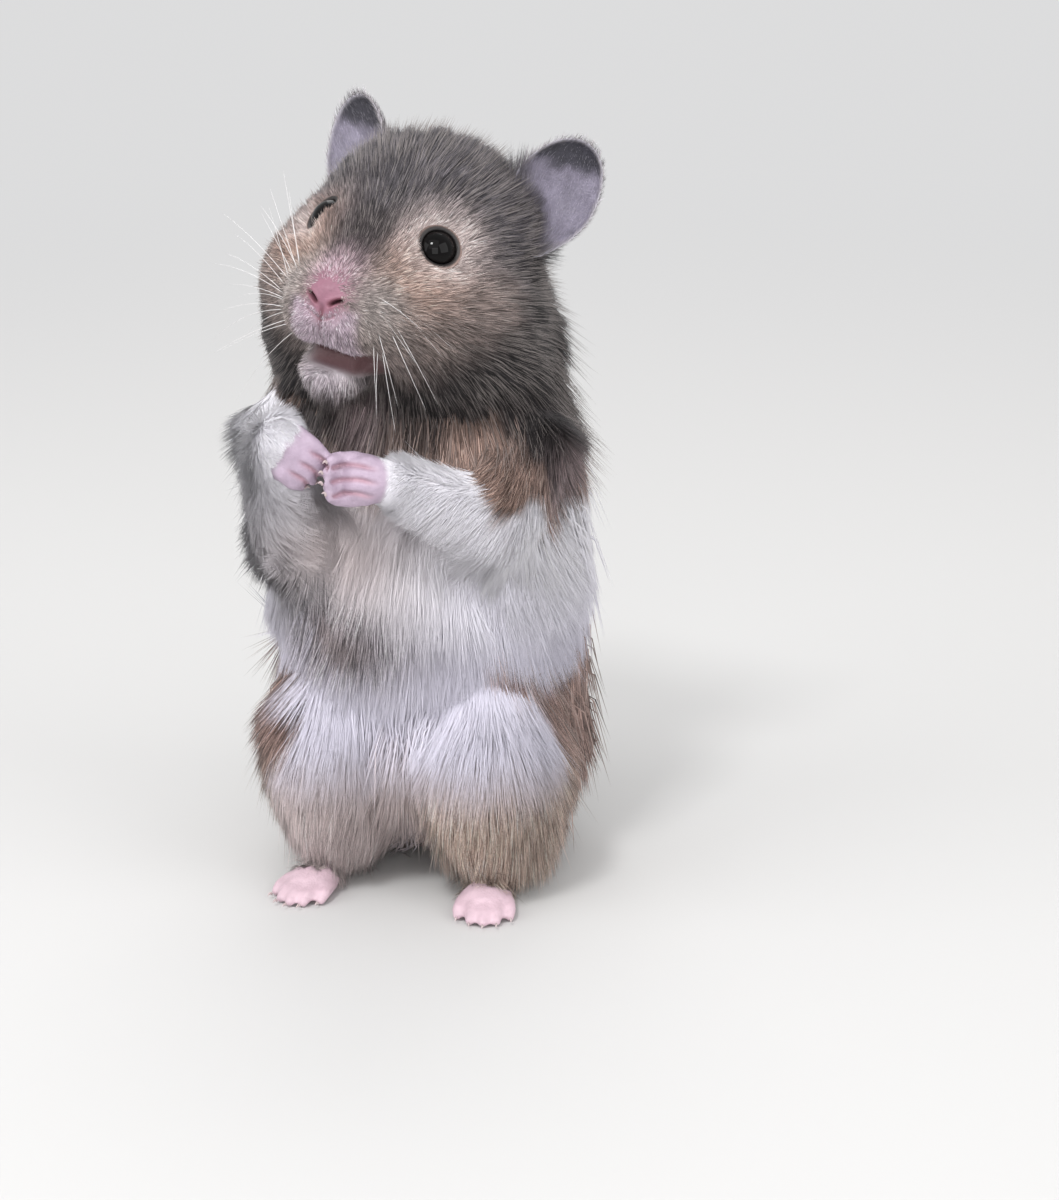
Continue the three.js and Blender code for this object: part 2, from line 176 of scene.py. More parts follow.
def seen_ray(tree):
    """Output that is 1 for camera, glossy and transmission rays, which see the backdrop's own colour, and
    the backdrop's share as a light for all others."""
    path = add_node(tree, "LightPath")
    total = BACKDROP_LIGHT
    for ray in ("Is Camera Ray", "Is Glossy Ray", "Is Transmission Ray"):
        larger = add_node(tree, "Math", {0: path.outputs[ray], 1: total})
        larger.operation = "MAXIMUM"
        total = larger.outputs["Value"]
    return total


def show_mix(tree, share, first, second, target):
    """Lead the mix of two nodes' shaders to the output node with the target's name."""
    both = add_node(tree, "MixShader", {"Fac": share, 1: first.outputs[0], 2: second.outputs[0]})
    tree.links.new(both.outputs["Shader"], tree.nodes[target].inputs["Surface"])


def add_floor():
    """The floor turns, as it is seen, from a lit surface near the animal into the backdrop's plain tone."""
    half = FLOOR_SIDE / 2
    corners = [(-half, -half), (half, -half), (half, half), (-half, half)]
    floor = mesh_object("floor", [(x, y, -FLOOR_DROP) for x, y in corners], [(0, 1, 2, 3)])
    material, tree, shader = principled("pale_floor", {"Base Color": FLOOR_COLOUR, "Roughness": 0.9})
    far = add_node(tree, "VectorMath", {0: object_place(tree)})
    far.operation = "LENGTH"
    fade = add_node(tree, "MapRange", {"Value": far.outputs["Value"]})
    set_inputs(tree, fade, {"From Min": FADE_START, "From Max": FADE_END})
    fade.interpolation_type = "SMOOTHSTEP"
    share = add_node(tree, "Math", {0: fade.outputs["Result"], 1: seen_ray(tree)})
    share.operation = "MULTIPLY"
    glow = add_node(tree, "Emission", {"Color": BACKDROP_COLOUR})
    show_mix(tree, share.outputs["Value"], shader, glow, "Material Output")
    floor.data.materials.append(material)


def add_lamp(name, azimuth, pitch, distance, side, watts):
    """A square lamp that stands round the model and faces its middle; the wider it is, the softer."""
    _, _, backward = view_axes(math.radians(azimuth), math.radians(pitch))
    data = bpy.data.lights.new(name, "AREA")
    data.size = side
    data.energy = watts
    lamp = new_object(name, data)
    lamp.location = backward * distance + np.array([0, 0, cad_high[2] / 2])
    lamp.rotation_euler = (math.pi / 2 - math.radians(pitch), 0, math.radians(azimuth))


def add_sky():
    world = bpy.data.worlds.new("sky")
    bpy.context.scene.world = world
    world.use_nodes = True
    tree = world.node_tree
    light = tree.nodes["Background"]
    set_inputs(tree, light, {"Color": (1, 1, 1, 1), "Strength": SKY_STRENGTH})
    seen = add_node(tree, "Background", {"Color": BACKDROP_COLOUR})
    show_mix(tree, seen_ray(tree), light, seen, "World Output")


add_floor()
for name, place in LAMPS.items():
    add_lamp(name, *place)
add_sky()
print("floor and", len(LAMPS), "lamps")

# %% [markdown]
# ## Landmarks
# Every place comes from the boxes of the CAD nodes. The two eyes and the nose fix the frame of the head:
# x to its left, y backwards and z upwards, with its origin midway between the eyes.

# %% Landmarks from the frame
SIDES = {"left": 1, "right": -1}
FACE_MIDDLE = 0.2  # the nose and mouth stand a little to the left of the eyes' midline, in millimetres
NOSE_DROP = math.radians(31.5)  # how far the line from the eyes to the nose points below straight ahead


def centre_of(node):
    low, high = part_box(node)
    return (np.array(low) + np.array(high)) / 2


def from_node(points, node):
    """Distance of each point from a node's middle, in millimetres."""
    return np.linalg.norm(points - centre_of(node), axis=1) / MM


def unit(vectors):
    """The same directions with length one, for one vector or a whole array of them."""
    vectors = np.asarray(vectors, float)
    return vectors / np.maximum(np.linalg.norm(vectors, axis=-1, keepdims=True), 1e-12)


def head_frame():
    """Origin and three rows of axes of the head's own frame, from the eyes and the nose."""
    left, right, nose = centre_of("eye_left"), centre_of("eye_right"), centre_of("nose")
    origin = (left + right) / 2
    x = unit(left - right)
    to_nose = unit((nose - origin) - x * np.dot(nose - origin, x))
    crossing = np.cross(x, -to_nose)
    ahead = to_nose * math.cos(NOSE_DROP) + crossing * math.sin(NOSE_DROP)
    return origin, np.array([x, -ahead, np.cross(x, -ahead)])


HEAD_ORIGIN, HEAD_AXES = head_frame()


def in_head(points):
    """Points in the head's frame, in millimetres."""
    return (np.asarray(points) - HEAD_ORIGIN) @ HEAD_AXES.T / MM


def sides_of_face(points):
    """x, y and z in the head's frame from the middle of the face, and rows of |x|, y and z."""
    x, y, z = (in_head(points) - [FACE_MIDDLE, 0, 0]).T
    return x, y, z, np.column_stack([np.abs(x), y, z])


def from_head(places):
    """The opposite of in_head: millimetres in the head's frame become metres in the model's."""
    return HEAD_ORIGIN + np.asarray(places, float) * MM @ HEAD_AXES


print("head at", np.round(HEAD_ORIGIN / MM, 1), "axes", np.round(HEAD_AXES, 2).tolist())
print("nose in head", np.round(in_head(centre_of("nose")), 1))
for side in SIDES:
    print("ear", side, np.round(in_head(centre_of("ear_" + side)), 1))

# %% [markdown]
# ## The skin
# A real hamster has one skin from nose to tail, so the seams between the solids may not show. The flesh
# nodes are copied, swollen a hair's breadth so that neighbours touch, and merged by a voxel remesh. The
# merged surface is still the tips of the coat. Smoothing takes the facets out of it, and then every point
# moves inwards by the depth of the coat at its place.

# %% Mesh arrays
VOXEL = 0.4 * MM
SWELL = 0.25 * MM


def arrays_of(mesh):
    """The points and the faces (all with the same number of corners) of a mesh, as arrays."""
    points = np.empty(len(mesh.vertices) * 3)
    mesh.vertices.foreach_get("co", points)
    corners = np.empty(len(mesh.loops), np.int64)
    mesh.loops.foreach_get("vertex_index", corners)
    return points.reshape(-1, 3), corners.reshape(len(mesh.polygons), -1)


def normals_of(points, faces):
    """Unit normals at the points: each face adds the cross product of its diagonals or edges."""
    ends = ((0, 2), (1, 3)) if faces.shape[1] == 4 else ((0, 1), (0, 2))
    across = np.cross(*(points[faces[:, end]] - points[faces[:, start]] for start, end in ends))
    total = np.zeros_like(points)
    for corner in range(faces.shape[1]):
        for axis in range(3):
            total[:, axis] += np.bincount(faces[:, corner], across[:, axis], len(points))
    return unit(total)


def edges_of(faces):
    pairs = np.concatenate([faces[:, [i, (i + 1) % faces.shape[1]]] for i in range(faces.shape[1])])
    return np.unique(np.sort(pairs, axis=1), axis=0)


def smoothed(points, edges, rounds, share):
    """Each round moves every row by its share of the way to the mean of its neighbours' rows."""
    first, second = edges.T
    count = np.bincount(first, minlength=len(points)) + np.bincount(second, minlength=len(points))
    points = points.copy()
    share = np.broadcast_to(np.asarray(share, float), (len(points),))[:, None]

    def neighbours(row):
        return np.bincount(first, row[second], len(row)) + np.bincount(second, row[first], len(row))

    for _ in range(rounds):
        mean = np.stack([neighbours(row) for row in points.T], axis=1)
        points += share * (mean / count[:, None] - points)
    return points


def swollen_copy(node):
    """Merged points and triangles of a CAD node, moved outwards by the swell."""
    points, faces = arrays_of(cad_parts[node].data)
    keys = np.round(points / (0.001 * MM)).astype(np.int64)
    _, first, back = np.unique(keys, axis=0, return_index=True, return_inverse=True)
    points, faces = points[first], back.reshape(-1)[faces]
    return points + normals_of(points, faces) * SWELL, faces


def joined(parts):
    """Several (points, faces) pairs as one."""
    starts = np.cumsum([0] + [len(points) for points, _ in parts])
    faces = np.concatenate([faces + start for (_, faces), start in zip(parts, starts)])
    return np.concatenate([points for points, _ in parts]), faces


def modified(points, faces, add_modifiers):
    """The arrays of a mesh after the modifiers that add_modifiers puts on its object."""
    thing = mesh_object("passing", points, faces)
    add_modifiers(thing)
    graph = bpy.context.evaluated_depsgraph_get()
    mesh = bpy.data.meshes.new_from_object(thing.evaluated_get(graph))
    result = arrays_of(mesh)
    bpy.data.objects.remove(thing)
    bpy.data.meshes.remove(mesh)
    return result


def voxel_remesh(thing):
    remesh = thing.modifiers.new("merge", "REMESH")
    remesh.mode = "VOXEL"
    remesh.voxel_size = VOXEL


# %% The flesh in one piece
FLESH = [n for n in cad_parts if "claw" not in n and not n.startswith(("eye_", "ear_"))]
FINE_SHARE, PLAIN_SHARE, SMOOTH_ROUNDS = 0.09, 0.5, 40


def largest_piece(points, faces):
    """The largest connected piece alone: neighbours share the lower of their labels until none changes."""
    first, second = edges_of(faces).T
    label = np.arange(len(points))
    while True:
        before = label.copy()
        lower = np.minimum(label[first], label[second])
        for ends in (first, second, before[first], before[second]):
            np.minimum.at(label, ends, lower)
        label = label[label]
        if np.array_equal(label, before):
            break
    kept = label == np.bincount(label).argmax()
    number = np.cumsum(kept) - 1
    return points[kept], number[faces[kept[faces[:, 0]]]]


def inside_boxes(points, nodes, reach):
    """True where a point lies in the box of one of the nodes, grown by a reach in millimetres."""
    inside = np.zeros(len(points), bool)
    for node in nodes:
        low, high = (np.array(corner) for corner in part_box(node))
        inside |= ((points > low - reach * MM) & (points < high + reach * MM)).all(axis=1)
    return inside


def is_fine(points):
    """True on hands, feet, nose and mouth, whose small forms need short edges."""
    x, y, z = in_head(points).T
    mouth = (np.abs(x) < 10) & (y < -4) & (z < -8) & (z > -25)
    return mouth | inside_boxes(points, [n for n in FLESH if n.startswith(("hand", "nose"))], 0.8) | (
        inside_boxes(points, ["foot_left", "foot_right"], 0.3)
    )


coat_tips, quads = modified(*joined([swollen_copy(node) for node in FLESH]), voxel_remesh)
coat_tips, quads = largest_piece(coat_tips, quads)
share = np.where(is_fine(coat_tips), FINE_SHARE, PLAIN_SHARE)
coat_tips = smoothed(coat_tips, edges_of(quads), SMOOTH_ROUNDS, share)
print("merged flesh", len(coat_tips), "points")

# %% [markdown]
# Most of the skin is hidden by fur, so its mesh is thinned there and kept fine on the bare parts.

# %% Thinning
KEPT_SHARE = 0.26


def thin(thing):
    """Collapse edges, and only where the skin is plain."""
    points, _ = arrays_of(thing.data)
    group = thing.vertex_groups.new(name="plain")
    group.add(np.flatnonzero(~is_fine(points)).tolist(), 1.0, "REPLACE")
    decimate = thing.modifiers.new("thin", "DECIMATE")
    decimate.ratio = KEPT_SHARE
    decimate.vertex_group = group.name
    thing.modifiers.new("triangles", "TRIANGULATE")


coat_tips, triangles = modified(coat_tips, quads, thin)
print("thinned skin", len(triangles), "triangles")

# %% [markdown]
# Which part of the body a point of the skin belongs to decides how deep its coat is and which way it lies.
# The nearest corner or face centre of the flesh nodes tells it.

# %% The part at each point

def node_cloud():
    """Corners and face centres of the flesh nodes, and for each the number of its node in FLESH."""
    clouds, owners = [], []
    for number, node in enumerate(FLESH):
        points, faces = arrays_of(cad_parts[node].data)
        clouds += [np.unique(np.round(points, 6), axis=0), points[faces].mean(axis=1)]
        owners += [np.full(len(cloud), number) for cloud in clouds[-2:]]
    return np.concatenate(clouds), np.concatenate(owners)


def nearest(points, cloud, block=2000):
    """Number of the nearest cloud point: |c|^2 - 2 p.c is least there, worked out in blocks of points."""
    cloud = cloud.astype(np.float32)
    squares = (cloud**2).sum(axis=1)
    blocks = [points[start : start + block].astype(np.float32) for start in range(0, len(points), block)]
    return np.concatenate([(squares - 2 * part @ cloud.T).argmin(axis=1) for part in blocks])


cloud, owners = node_cloud()
part = owners[nearest(coat_tips, cloud)]


def is_part(*starts):
    """True at the points whose node starts with one of the words."""
    wanted = np.array([node.startswith(starts) for node in FLESH])
    return wanted[part]


print("parts found for", len(part), "points")

# %% [markdown]
# ## The depth of the coat
# A hamster's fur is a few tenths of a millimetre deep on the muzzle, some three on the crown and six on the
# back. Each part has its depth, the head's grows from the nose backwards, and a smoothing blends them.

# %% Depth of the coat
BLEND_ROUNDS = 30
PART_DEPTH = {
    "trunk": 5.5, "neck": 5.0, "lower_jaw": 0.55, "nose": 0.0, "tail": 0.5, "upper_arm": 3.4, "forearm": 2.6,
    "hand": 0.0, "thigh": 4.6, "foot": 0.1,
}
NOSE_POINT = np.array([0.0, -16.0, -9.1])
MOUTH_POINT = np.array([0.9, -10.6, -18.2])
LID_DEPTH, LID_REACH = 0.3, 4.6


def rise(values, start, end):
    """Smooth step from 0 at start to 1 at end: 3t^2 - 2t^3."""
    t = np.clip((values - start) / (end - start), 0, 1)
    return t * t * (3 - 2 * t)


def blob(places, centre, radii):
    """A soft round spot: exp(-d^2) of the distance from its centre, measured in its radii."""
    return np.exp(-(((places - np.asarray(centre)) / np.asarray(radii)) ** 2).sum(axis=-1))


def head_depth(places):
    """Millimetres of coat at places in the head's frame."""
    beside = np.abs(places * [1, 0, 0]) + places * [0, 1, 1]
    depth = 0.35 + 2.5 * rise(places[:, 1], -13, 15) + 1.6 * blob(beside, (13, 9, -10), (7, 8, 8))
    return depth * rise(np.linalg.norm(places - NOSE_POINT, axis=1), 2.0, 8.0)


def coat_depth(points):
    places = in_head(points)
    of_node = [next((deep for word, deep in PART_DEPTH.items() if n.startswith(word)), 0) for n in FLESH]
    depth = np.array(of_node)[part]
    depth = np.where(is_part("head"), head_depth(places), depth)
    for side in SIDES:
        sleeve = 0.25 + 3.6 * rise(from_node(points, "hand_" + side), 4.5, 17)
        depth = np.where(is_part("forearm_" + side, "upper_arm_" + side), np.minimum(depth, sleeve), depth)
        past_lid = np.maximum(from_node(points, "eye_" + side) - LID_REACH, 0)
        depth = np.minimum(depth, LID_DEPTH + 0.28 * past_lid)
    return depth + 1.6 * is_part("lower_jaw") * rise(-places[:, 2], 21, 25)


tip_edges = edges_of(triangles)
blend_share = np.where(is_fine(coat_tips), 0.15, 0.5)
depth = smoothed(coat_depth(coat_tips)[:, None], tip_edges, BLEND_ROUNDS, blend_share)[:, 0]
calm_normals = unit(smoothed(normals_of(coat_tips, triangles), tip_edges, 6, 0.5))
flesh_points = coat_tips - calm_normals * depth[:, None] * MM
flesh_points = smoothed(flesh_points, tip_edges, 8, np.where(is_fine(coat_tips), 0.0, 0.5))
print("coat depth", np.round([depth.min(), np.median(depth), depth.max()], 2), "mm")

# %% [markdown]
# ## The face
# Nostrils, the groove below the nose, and the lips are moved into the skin: each is a formula in the head's
# frame that pushes points along it. The mesh is made finer there first.

# %% Nose and mouth
NOSTRIL_BESIDE, NOSTRIL_ABOVE = 1.9, -9.0
NOSTRIL_TURN = math.radians(33)
FINGER_STEP, GROOVE_WIDTH, GROOVE_START, HAND_REACH = 2.2, 0.42, (-2.2, 0.4), 11
GROOVE_DEPTH = 0.45
# side: places along a hand between which its fur ends, in mm from its middle
WRIST = {"left": (-3.4, -2.2), "right": (-6, -5)}
# axis, way, centre and radii in mm: the skin between the thighs comes forward, and the right elbow and the
# left shank are drawn in
PUSHES = (
    (1, -4.5, (-0.5, -15, 24), (4.5, 6, 12)),
    (0, 2.5, (-29, -12, 62), (5, 14, 9)),
    (0, -3.0, (29, -6, 16), (7, 18, 11)),
)
WAIST_ROUNDS = 60
FINE_ZONES = ((0.3, -12, -13.6), (8, 9, 11)), ((0.0, -15, -11.1), (4.6, 4, 6.0))
BROW_SPOT = (6.1, -5.2, -0.1), (2.6, 3.2, 3.4)
BROW_RIGHT, BROW_LEFT = 2.3, 0.6  # how far the fold before each eye swells, in mm


def finer(points, fields, triangles, wanted):
    """Split the edges of the triangles in which all corners are wanted; the fields' rows are split alike."""
    edges = edges_of(triangles[wanted[triangles].all(axis=1)])
    key = edges[:, 0] * len(points) + edges[:, 1]
    corners = np.stack([triangles, np.roll(triangles, -1, axis=1)])
    wanted_key = corners.min(axis=0) * len(points) + corners.max(axis=0)
    place = np.minimum(np.searchsorted(key, wanted_key), len(key) - 1)
    middle = np.where(key[place] == wanted_key, place + len(points), -1)
    points, fields = (np.concatenate([rows, rows[edges].mean(axis=1)]) for rows in (points, fields))
    return points, fields, split_triangles(triangles, middle)


def split_triangles(triangles, middle):
    """Triangles after a split: none, one, two or three of their edges have a middle point (else -1)."""
    count = (middle >= 0).sum(axis=1)
    made = [triangles[count == 0]]
    for turn in range(3):
        a, b, c = np.roll(triangles, -turn, axis=1).T
        ab, bc, ca = np.roll(middle, -turn, axis=1).T
        one, two = (count == 1) & (ab >= 0), (count == 2) & (ca < 0)
        made += [np.stack(t, 1)[one] for t in ((a, ab, c), (ab, b, c))]
        made += [np.stack(t, 1)[two] for t in ((a, ab, c), (ab, bc, c), (ab, b, bc))]
    a, b, c = triangles.T
    ab, bc, ca = middle.T
    made += [np.stack(t, 1)[count == 3] for t in ((a, ab, ca), (ab, b, bc), (bc, c, ca), (ab, bc, ca))]
    return np.concatenate(made)


def face_zone(points, centre, radii):
    return (((in_head(points) - centre) / radii) ** 2).sum(axis=1) < 1


def streak(u, v, long, wide):
    """1 on a streak, and exp(-(u / long)^4 - (v / wide)^2) at u along it and v across it."""
    return np.exp(-((u / long) ** 4) - (v / wide) ** 2)


def nostril_lines(beside, z):
    """Millimetres along and across the slit of a nostril, which is turned and bowed."""
    out, above = beside - NOSTRIL_BESIDE, z - NOSTRIL_ABOVE
    u = out * math.cos(NOSTRIL_TURN) + above * math.sin(NOSTRIL_TURN)
    return u, above * math.cos(NOSTRIL_TURN) - out * math.sin(NOSTRIL_TURN) + 0.10 * u * u


def sculpted(points):
    """Points pushed back (+y of the head) or pulled forward by the streaks and spots of the nose and the
    mouth; the fold before each eye swells forwards, upwards and to its side."""
    places = in_head(points)
    x, y, z, sided = sides_of_face(points)
    beside = sided[:, 0]
    u, v = nostril_lines(beside, z)
    groove = np.exp(-((beside / 0.36) ** 2)) * rise(z, -15.8, -14.8) * rise(-z, 9.2, 11.0)
    lip_pad = blob(sided[:, [0, 2]], (2.7, -13.5), (1.9, 1.5))
    push = 1.25 * streak(u, v, 1.05, 0.27) - 0.16 * streak(u, v - 0.62, 1.5, 0.38)
    push += -0.22 * streak(u, v + 0.55, 1.4, 0.30) + 0.62 * groove
    push += 0.34 * streak(beside, z + 12.2 - 0.5 * beside, 2.6, 0.34) - 0.55 * lip_pad
    inside = np.exp(-(((x - 0.7) / 5.6) ** 4) - ((z + 18.9) / 2.2) ** 4) * rise(y, -8.5, -5.5)
    places[:, 1] += rise(-y, 10, 12.5) * push - 3.0 * inside
    places[:, 0] -= 1.4 * blob(places, (0, -6, -22), (8, 7, 4))
    brow = np.where(x < 0, BROW_RIGHT, BROW_LEFT) * blob(sided, *BROW_SPOT)
    places += brow[:, None] * (np.sign(x)[:, None] * [0.5, 0, 0] + [0, -0.7, 0.5])
    return from_head(places)


def mouth_share(points):
    """1 inside the mouth, falling to 0 at the lips."""
    x, y, z = (in_head(points) - MOUTH_POINT).T
    return np.exp(-((x / 5.6) ** 6) - ((z + 0.2) / 2.5) ** 6) * rise(y, 0.2, 1.2) * rise(-y, -12, -9)


def hand_axes(side):
    """Origin at the middle of the hand, and unit vectors along its fingers and across them."""
    tips = np.array([centre_of(f"finger_claw_{side}_{number}") for number in range(1, 5)])
    hand = centre_of("hand_" + side)
    across = unit(tips[-1] - tips[0])
    along = tips.mean(axis=0) - hand
    return hand, unit(along - across * (along @ across)), across


def finger_grooves(points, hands):
    """1 on the lines between neighbouring fingers, falling to 0 within half a finger of them."""
    share = np.zeros(len(points))
    gaps = {side: from_node(points, "hand_" + side) for side in SIDES}
    for side in SIDES:
        hand, along, across = hand_axes(side)
        u, v = (points - hand) @ across / MM, (points - hand) @ along / MM
        u = u + 0.25 * np.sin(1.1 * v)
        gap = np.abs(np.abs(u)[:, None] - [0, FINGER_STEP]).min(axis=1)
        groove = np.exp(-((gap / GROOVE_WIDTH) ** 2)) * rise(v, *GROOVE_START) * rise(-v, -5.2, -3.8)
        share = np.maximum(share, groove * (gaps[side] <= np.minimum(*gaps.values())))
    return share * hands


# %% [markdown]
# ## The lie of the coat
# Hair grows away from the nose over the head, down the trunk, and along each limb towards its toes. That
# direction is set part by part, blended over the skin, and laid flat on the surface.

# %% Lie of the coat
DOWN = np.array([0, 0, -1.0])
FLOW_SOURCE = np.array([0.0, -13.0, -7.6])
CROWN_CENTRE = np.array([0, 11.0, -1.2])


def flat_on(directions, normals):
    """The part of each direction that lies in the surface, with length one."""
    return unit(directions - normals * (directions * normals).sum(axis=1, keepdims=True))


def coat_flow(points, normals):
    places = in_head(points)
    flow = np.tile(DOWN, (len(points), 1))
    ways = {
        ("head", "nose"): unit(places - FLOW_SOURCE) @ HEAD_AXES,
        ("lower_jaw",): np.array([0, 0.45, -1.0]) @ HEAD_AXES,
        ("neck",): DOWN + 0.4 * unit(places - CROWN_CENTRE) @ HEAD_AXES,
        ("thigh",): DOWN + [0, -0.25, 0],
        ("foot",): np.array([0, -1.0, -0.2]),
        ("tail",): np.array([0, 1.0, -0.5]),
    }
    for side in SIDES:
        hand, lower, upper = (centre_of(n + side) for n in ("hand_", "forearm_", "upper_arm_"))
        ways[("forearm_" + side, "hand_" + side)] = unit(hand - lower) + 0.8 * DOWN
        ways[("upper_arm_" + side,)] = unit(lower - upper) + 0.5 * DOWN
    for starts, way in ways.items():
        flow = np.where(is_part(*starts)[:, None], way, flow)
    rump = rise(points[:, 1] / MM, 10, 30) * rise(-points[:, 2] / MM, -45, -10)
    flow = flow + rump[:, None] * [0, 0.9, -0.3] * is_part("trunk")[:, None]
    flow = smoothed(flow, tip_edges, BLEND_ROUNDS, 0.5)
    for side in SIDES:
        offset = (points - centre_of("eye_" + side)) / MM
        flow += 1.5 * unit(offset) * np.exp(-((np.linalg.norm(offset, axis=1) / 4.8) ** 2))[:, None]
    return flat_on(flow, normals)


# The columns of the traits: depth of the coat, its flow, and the shares of these parts at each point.
DEPTH, FLOW, HAND, FOOT = 0, slice(1, 4), 4, 5
SHARED_PARTS = (
    ("hand",), ("foot", "tail"), ("thigh",), ("forearm", "upper_arm"), ("head", "lower_jaw", "nose"),
    ("neck",),
)
flow = coat_flow(coat_tips, calm_normals)
traits = np.column_stack([depth, flow] + [is_part(*starts) for starts in SHARED_PARTS])
traits[:, HAND:] = smoothed(traits[:, HAND:], tip_edges, 4, 0.5)
flesh_triangles = triangles
for side in SIDES:
    hand, along, _ = hand_axes(side)
    near = from_node(flesh_points, "hand_" + side) < HAND_REACH
    traits[:, HAND] *= np.where(near, rise((flesh_points - hand) @ along / MM, *WRIST[side]), 1)
x, y, z = flesh_points.T / MM
waist = np.exp(-(((z - 41) / 8) ** 4)) * rise(np.abs(x), 13, 18) * rise(-np.abs(y + 2), -16, -11)
flesh_points = smoothed(flesh_points, edges_of(flesh_triangles), WAIST_ROUNDS, 0.6 * waist)
for axis, push, *spot in PUSHES:
    flesh_points[:, axis] += push * blob(flesh_points / MM, *spot) * MM
for zone in FINE_ZONES:
    near = face_zone(flesh_points, *zone)
    flesh_points, traits, flesh_triangles = finer(flesh_points, traits, flesh_triangles, near)
    near = face_zone(flesh_points, *zone)
    flesh_points = smoothed(flesh_points, edges_of(flesh_triangles), 3, 0.4 * near)
for side in SIDES:
    near = (from_node(flesh_points, "hand_" + side) < HAND_REACH) & (traits[:, HAND] > 0.3)
    flesh_points, traits, flesh_triangles = finer(flesh_points, traits, flesh_triangles, near)
flesh_points = sculpted(flesh_points)
inwards = normals_of(flesh_points, flesh_triangles) * finger_grooves(flesh_points, traits[:, HAND])[:, None]
flesh_points -= GROOVE_DEPTH * inwards * MM
print("flesh with a finer face", len(flesh_triangles), "triangles")

# %% [markdown]
# ## Eyelids and ears
# A hamster's lids are thin dark rims that hug the eyeball. Each is a closed ring whose height follows the
# skin round that eye. An ear is a thin cupped leaf with a rolled rim, a deep canal and a fold before it.

# %% Closed grids
def turns(count):
    """Evenly spread angles once round."""
    return np.arange(count) * 2 * np.pi / count


def half_turn_grid(rows, spokes):
    """Angles from pole to pole and angles round, as two arrays (rows, spokes)."""
    return np.meshgrid(np.linspace(0, np.pi, rows), turns(spokes), indexing="ij")


def grid_triangles(rows, spokes, closed_rows=False):
    """Two triangles for each cell of a grid that is closed round its spokes, and round its rows if asked."""
    row, spoke = np.meshgrid(np.arange(rows if closed_rows else rows - 1), np.arange(spokes), indexing="ij")
    here, there = row * spokes, (row + 1) % rows * spokes
    following = (spoke + 1) % spokes
    a, b, c, d = (here + spoke, here + following, there + following, there + spoke)
    return np.concatenate([np.stack([a, b, c], -1).reshape(-1, 3), np.stack([a, c, d], -1).reshape(-1, 3)])


def outwards(points, triangles):
    """The triangles turned round if they enclose a negative volume, the sum of a . (b x c) / 6."""
    a, b, c = (points[triangles[:, i]] for i in range(3))
    volume = (a * np.cross(b, c)).sum()
    return triangles if volume > 0 else triangles[:, ::-1]


def pole_grid(points):
    """Closed mesh of a grid (rows, spokes, 3) whose first and last rows each shrink to one point."""
    rows, spokes, _ = points.shape
    inner = points[1:-1].reshape(-1, 3)
    start, end = len(inner), len(inner) + 1
    ring = np.arange(spokes)
    last = (rows - 3) * spokes + ring
    caps = [np.stack([np.full(spokes, start), np.roll(ring, -1), ring], 1),
            np.stack([np.full(spokes, end), last, np.roll(last, -1)], 1)]
    triangles = np.concatenate([grid_triangles(rows - 2, spokes), *caps])
    points = np.concatenate([inner, points[0, :1], points[-1, :1]])
    return points, outwards(points - points.mean(axis=0), triangles)


# %% Eyelids
LID_SPOKES, LID_ROWS = 72, 14
LID_AXIS = {side: unit([0.65 * sign, -0.60, 0.44]) @ HEAD_AXES for side, sign in SIDES.items()}
LID_SPAN = (3.8, 5.4)  # distances from the eye's axis between which the skin's height is measured, in mm
LID_WIDTH, LID_THICKNESS = 0.95, 0.6
OPENING_HEIGHT = 1.4  # how high above the eye's centre the lids leave the eyeball, in mm


def round_axis(axis):
    """Two unit vectors square to an axis: the first as level as can be, the second upwards."""
    level = unit(np.cross([0, 0, 1.0], axis))
    return level, np.cross(axis, level)


def ring_round(axis, turn):
    """Unit vectors square to an axis at angles round it."""
    level, upward = round_axis(axis)
    return level * np.cos(turn)[:, None] + upward * np.sin(turn)[:, None]


def waves(turn):
    """Rows of 1, cos f, sin f, cos 2f, sin 2f."""
    return np.stack([np.ones_like(turn), np.cos(turn), np.sin(turn), np.cos(2 * turn), np.sin(2 * turn)], -1)


def eye_radius(side):
    low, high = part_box("eye_" + side)
    return float(min(np.array(high) - low)) / 2 / MM


